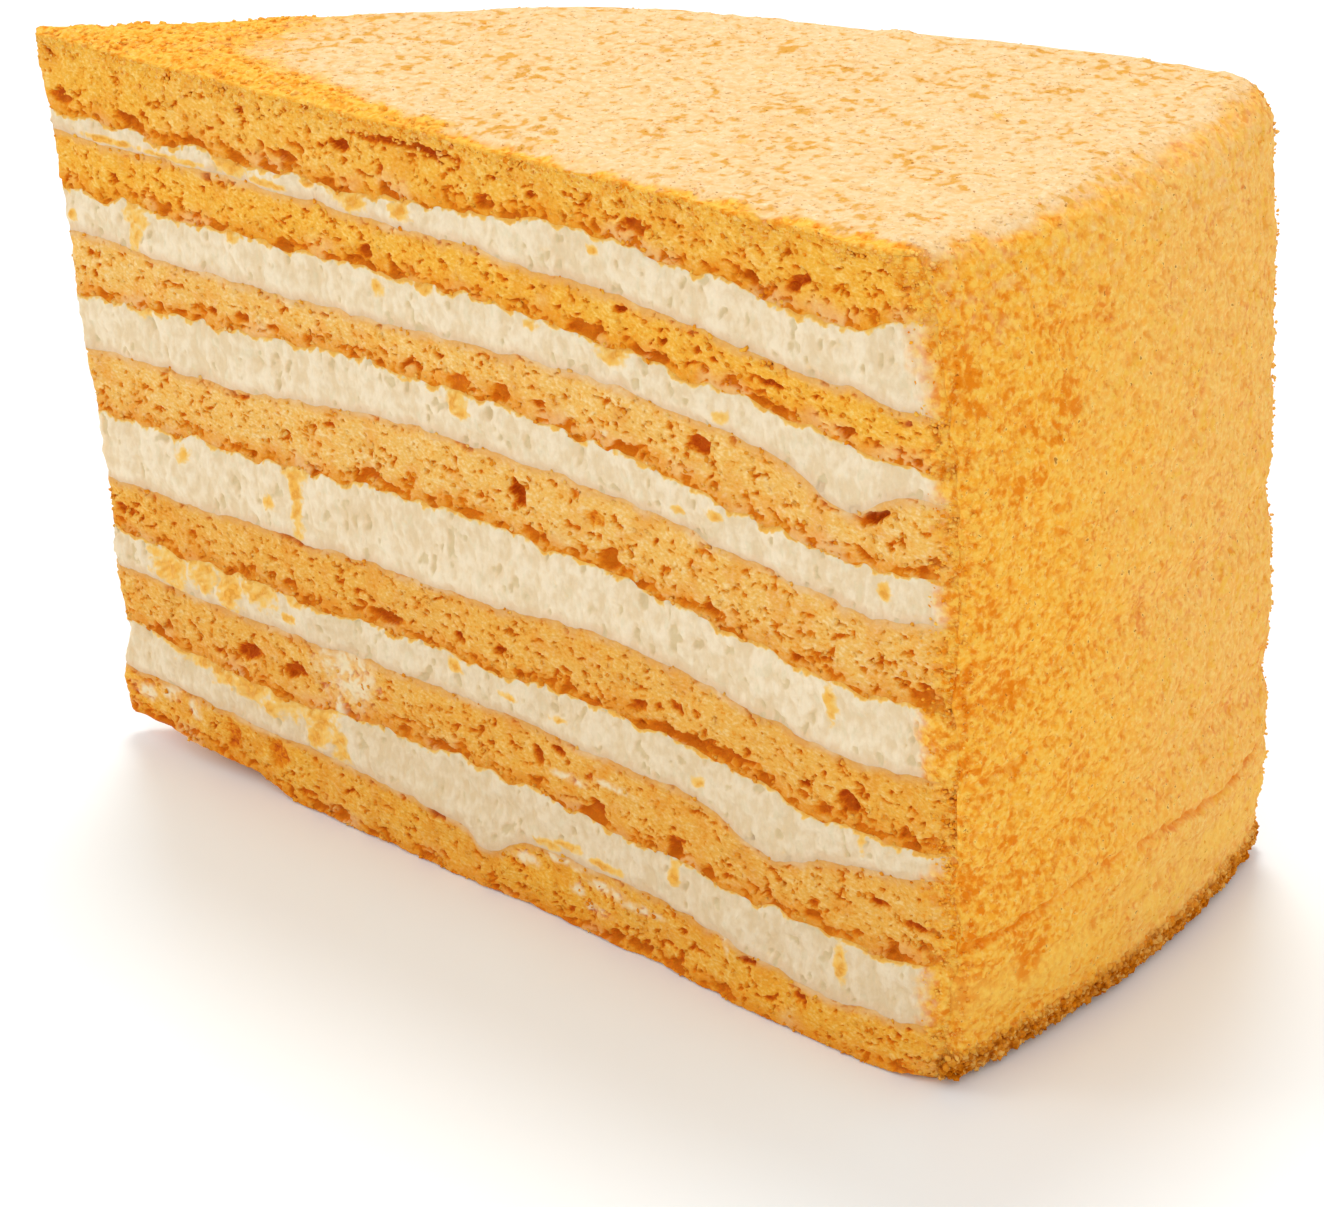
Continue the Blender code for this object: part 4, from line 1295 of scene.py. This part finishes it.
def scatter_crumbs(name, seed, x, y, z, sizes, squash, marks):
    """Make one joined mesh of small lumps at the given places."""
    picks = np.random.default_rng(seed)
    seed_mesh = bmesh.new()
    bmesh.ops.create_icosphere(seed_mesh, subdivisions=1, radius=0.5)
    corners = np.array([corner.co[:] for corner in seed_mesh.verts])
    faces = np.array([[corner.index for corner in face.verts] for face in seed_mesh.faces])
    seed_mesh.free()
    count = len(x)
    turn = np.linalg.qr(picks.normal(size=(count, 3, 3)))[0]
    turn[:, :, 0] *= np.sign(np.linalg.det(turn))[:, None]
    uneven = picks.normal(size=(count, len(corners), 1)).clip(-MOST_UNEVEN, MOST_UNEVEN)
    stretch = picks.uniform(*CRUMB_STRETCH, size=(count, 1, 3))
    grains = corners * (1 + CRUMB_UNEVEN * uneven) * stretch
    grains = np.einsum("nki,nji->nkj", grains, turn) * sizes[:, None, None]
    grains[..., 2] *= squash
    grains += np.stack((x, y, z), -1)[:, None, :]
    grains[..., 2] = np.maximum(grains[..., 2], 0)
    data = bpy.data.meshes.new(name)
    data.vertices.add(count * len(corners))
    data.loops.add(count * faces.size)
    data.polygons.add(count * len(faces))
    all_faces = faces.ravel() + np.arange(count)[:, None] * len(corners)
    data.loops.foreach_set("vertex_index", all_faces.ravel())
    data.polygons.foreach_set("loop_start", np.arange(0, count * faces.size, 3))
    data.update()
    marks = {**marks, "tint": picks.uniform(0, 1, count)}
    whole = {key: np.repeat(value, len(corners)) for key, value in marks.items()}
    place_points(data, *grains.reshape(-1, 3).T, **whole)
    data.validate()
    return data


DEEP_TINTS = (0.85, 1.0, 0.5)
LIGHT_TINTS = (0.35, 0.0, 0.5)


def loose_crumbs():
    """Make the loose crumbs' material: the coat's colours, deeper or lighter one by one."""
    food, shader = food_finish("loose_crumbs", roughness=1.0, scatter=0.0, radius=(1.0, 0.5, 0.25))
    shader.inputs["Specular IOR Level"].default_value = 0.0
    tone = marked(food, coat_colour(food), COAT_DEEP, "tint", *DEEP_TINTS)
    tone = marked(food, tone, COAT_LIGHT, "tint", *LIGHT_TINTS)
    return link_finish(food, shader, tone, grain(food, size=0.3), distance=0.15, strength=0.5)


crumb_finish = loose_crumbs()


def strew(name, seed, column, v, sizes, squash, sink):
    """Strew crumbs over the coat, each sunk a little into it."""
    x, y, z, lean = coat_place(column, v)
    out = coat_relief(x, y, z, v, lean) - sink
    marks = coat_marks(x, y, z, v, lean)
    data = scatter_crumbs(
        name, seed, x + out * np.sin(lean), y, z + out * np.cos(lean), sizes, squash, marks)
    show(name, data, crumb_finish)


# Crumbs on the top, coarser where it is golden; those that miss the slice are left out
TOP_CRUMBS = 9000
TOP_CRUMB_SIZES = (0.22, 0.42)
TOP_CRUMB_COARSER = 1.3
TOP_CRUMB_RUN = (1.0, 112.0)
CUT_MARGIN = 0.01

picks = np.random.default_rng(71)
x = picks.uniform(*TOP_CRUMB_RUN, 3 * TOP_CRUMBS)
v = picks.uniform(0, RIM_WIDTH, 3 * TOP_CRUMBS) / back_cut(x)
fits = (v > CUT_MARGIN) & (v < 1 - CUT_MARGIN)
x = x[fits][:TOP_CRUMBS]
v = v[fits][:TOP_CRUMBS]
start = TIP_ROUND * (1 - np.sin(np.pi * v))
column = COAT_TOP_STEPS * (x - start) / (rim_reach(v * RIM_WIDTH, CORE_TOP + COAT_ON_TOP) - start)
coarse = toast(*coat_place(column, v)[:3], v, 0 * v)
sizes = picks.uniform(*TOP_CRUMB_SIZES, len(x))
sizes = sizes * (1 + TOP_CRUMB_COARSER * coarse * picks.uniform(size=len(x)))
strew("top_crumbs", 72, column, v, sizes, squash=0.6, sink=0.05)

# Crumbs on the rim
RIM_CRUMBS = 9000
RIM_CRUMB_SIZES = (0.2, 0.42)

picks = np.random.default_rng(73)
v = picks.uniform(CUT_MARGIN, 1 - CUT_MARGIN, RIM_CRUMBS)
column = COAT_TOP_STEPS + picks.uniform(0, 1, RIM_CRUMBS) * (COAT_BEND_STEPS + COAT_RIM_STEPS)
sizes = picks.uniform(*RIM_CRUMB_SIZES, RIM_CRUMBS)
strew("rim_crumbs", 74, column, v, sizes, squash=1.0, sink=0.12)

# Coarser ones at its foot
FOOT_CRUMBS = 2500
FOOT_CRUMB_COLUMNS = 9
FOOT_CRUMB_SIZES = (0.35, 0.8)

picks = np.random.default_rng(75)
v = picks.uniform(0.0, 1.0, FOOT_CRUMBS)
column = COAT_COLUMNS - picks.uniform(0, FOOT_CRUMB_COLUMNS, FOOT_CRUMBS)
sizes = picks.uniform(*FOOT_CRUMB_SIZES, FOOT_CRUMBS)
strew("foot_crumbs", 76, column, v, sizes, squash=0.9, sink=0.1)

# Crumbs that spill from the coat over the edges of both cuts
EDGE_CRUMBS = 4500
EDGE_CRUMB_SIZES = (0.22, 0.5)
EDGE_CRUMB_SINK = 0.08
SPILL_ABOVE_LIP = 0.1
SPILL_LENGTH = 0.9
LONGEST_SPILL = 2.5

picks = np.random.default_rng(77)
column = picks.uniform(0, COAT_COLUMNS, EDGE_CRUMBS)
side = picks.integers(0, 2, EDGE_CRUMBS)
x, y, z, lean = coat_place(column, side * 1.0)
down = LIP_ON_TOP - SPILL_ABOVE_LIP + picks.exponential(SPILL_LENGTH, EDGE_CRUMBS).clip(0, LONGEST_SPILL)
x = x - down * np.sin(lean)
z = z - down * np.cos(lean)
to_rim = np.maximum(rim_reach(side * RIM_WIDTH, z) - LIP_ON_RIM - x, 0)
out = cut_relief((x, side * RIM_WIDTH, z), to_rim) - EDGE_CRUMB_SINK
shift_x, shift_y = off_cut(x, side, out)
y = side * back_cut(x) + shift_y
upright = np.full(EDGE_CRUMBS, np.pi / 2)
sizes = picks.uniform(*EDGE_CRUMB_SIZES, EDGE_CRUMBS)
marks = coat_marks(x, y, z, side * 1.0, upright)
edge_data = scatter_crumbs("edge_crumbs", 78, x + shift_x, y, z, sizes, squash=0.9, marks=marks)
show("edge_crumbs", edge_data, crumb_finish)

# Crumbs of the sponges themselves, pulled loose by the knife along their lower edges
CUT_CRUMB_SIZES = (0.25, 0.6)
CUT_CRUMB_SHADES = (0.25, 0.6)

x, y, z, richness = np.concatenate(crumb_seats, 1)
picks = np.random.default_rng(79)
sizes = picks.uniform(*CUT_CRUMB_SIZES, len(x))
marks = {
    **dict.fromkeys(("smear", "skin", "foot_shade", "dust"), 0 * x),
    "pore_shade": picks.uniform(*CUT_CRUMB_SHADES, len(x)),
    "rich": richness,
    "low": step(z, *LOW_SHADE_HEIGHTS),
}
cut_data = scatter_crumbs("cut_crumbs", 80, x, y, z, sizes, squash=1.0, marks=marks)
show("cut_crumbs", cut_data, sponge_finish)


# Floor.
# A plain white table top, smooth with a soft sheen, that the slice stands on.
# It lies a tenth of a millimetre under the slice; its size is in metres.
FLOOR_SIZE = 6.0
FLOOR_DROP = 0.1
TABLE_WHITE = (0.94, 0.975, 0.98, 1)
TABLE_ROUGHNESS = 0.3

floor_mesh = bmesh.new()
bmesh.ops.create_grid(floor_mesh, x_segments=1, y_segments=1, size=FLOOR_SIZE / 2)
bmesh.ops.translate(floor_mesh, vec=(0, 0, -FLOOR_DROP * MM), verts=floor_mesh.verts)
floor_data = bpy.data.meshes.new("white_table")
floor_mesh.to_mesh(floor_data)
floor_mesh.free()
floor_finish = bpy.data.materials.new("white_lacquer")
floor_finish.use_nodes = True
floor_shader = floor_finish.node_tree.nodes["Principled BSDF"]
floor_shader.inputs["Base Color"].default_value = TABLE_WHITE
floor_shader.inputs["Roughness"].default_value = TABLE_ROUGHNESS
floor_data.materials.append(floor_finish)
floor = bpy.data.objects.new("white_table", floor_data)
bpy.context.scene.collection.objects.link(floor)


# Light.
# A bright white room with one broad soft lamp, high up behind the slice.
# Two weak lamps, to the camera's left and right, lift the cut and the rim a little.
ROOM_WHITE = (1.0, 1.0, 0.995, 1)
ROOM_LIGHT = 0.89
AIM_HEIGHT = 0.04
# Each lamp's name, place and width in metres, and its power
LAMPS = (
    ("back_lamp", (-0.7, 0.85, 2.55), 0.9, 27.0),
    ("left_lamp", (-0.9, -0.6, 0.7), 0.35, 1.5),
    ("right_lamp", (1.0, -0.5, 0.35), 0.6, 0.5),
)

world = bpy.data.worlds.new("white_room")
world.use_nodes = True
world.node_tree.nodes["Background"].inputs["Color"].default_value = ROOM_WHITE
world.node_tree.nodes["Background"].inputs["Strength"].default_value = ROOM_LIGHT
bpy.context.scene.world = world
bpy.context.scene.view_settings.view_transform = "Standard"

for name, place, width, power in LAMPS:
    lamp_data = bpy.data.lights.new(name, "AREA")
    lamp_data.shape = "DISK"
    lamp_data.size = width
    lamp_data.energy = power
    lamp = bpy.data.objects.new(name, lamp_data)
    lamp.location = place
    aim = -lamp.location
    aim.z += AIM_HEIGHT
    lamp.rotation_euler = aim.to_track_quat("-Z", "Y").to_euler()
    bpy.context.scene.collection.objects.link(lamp)
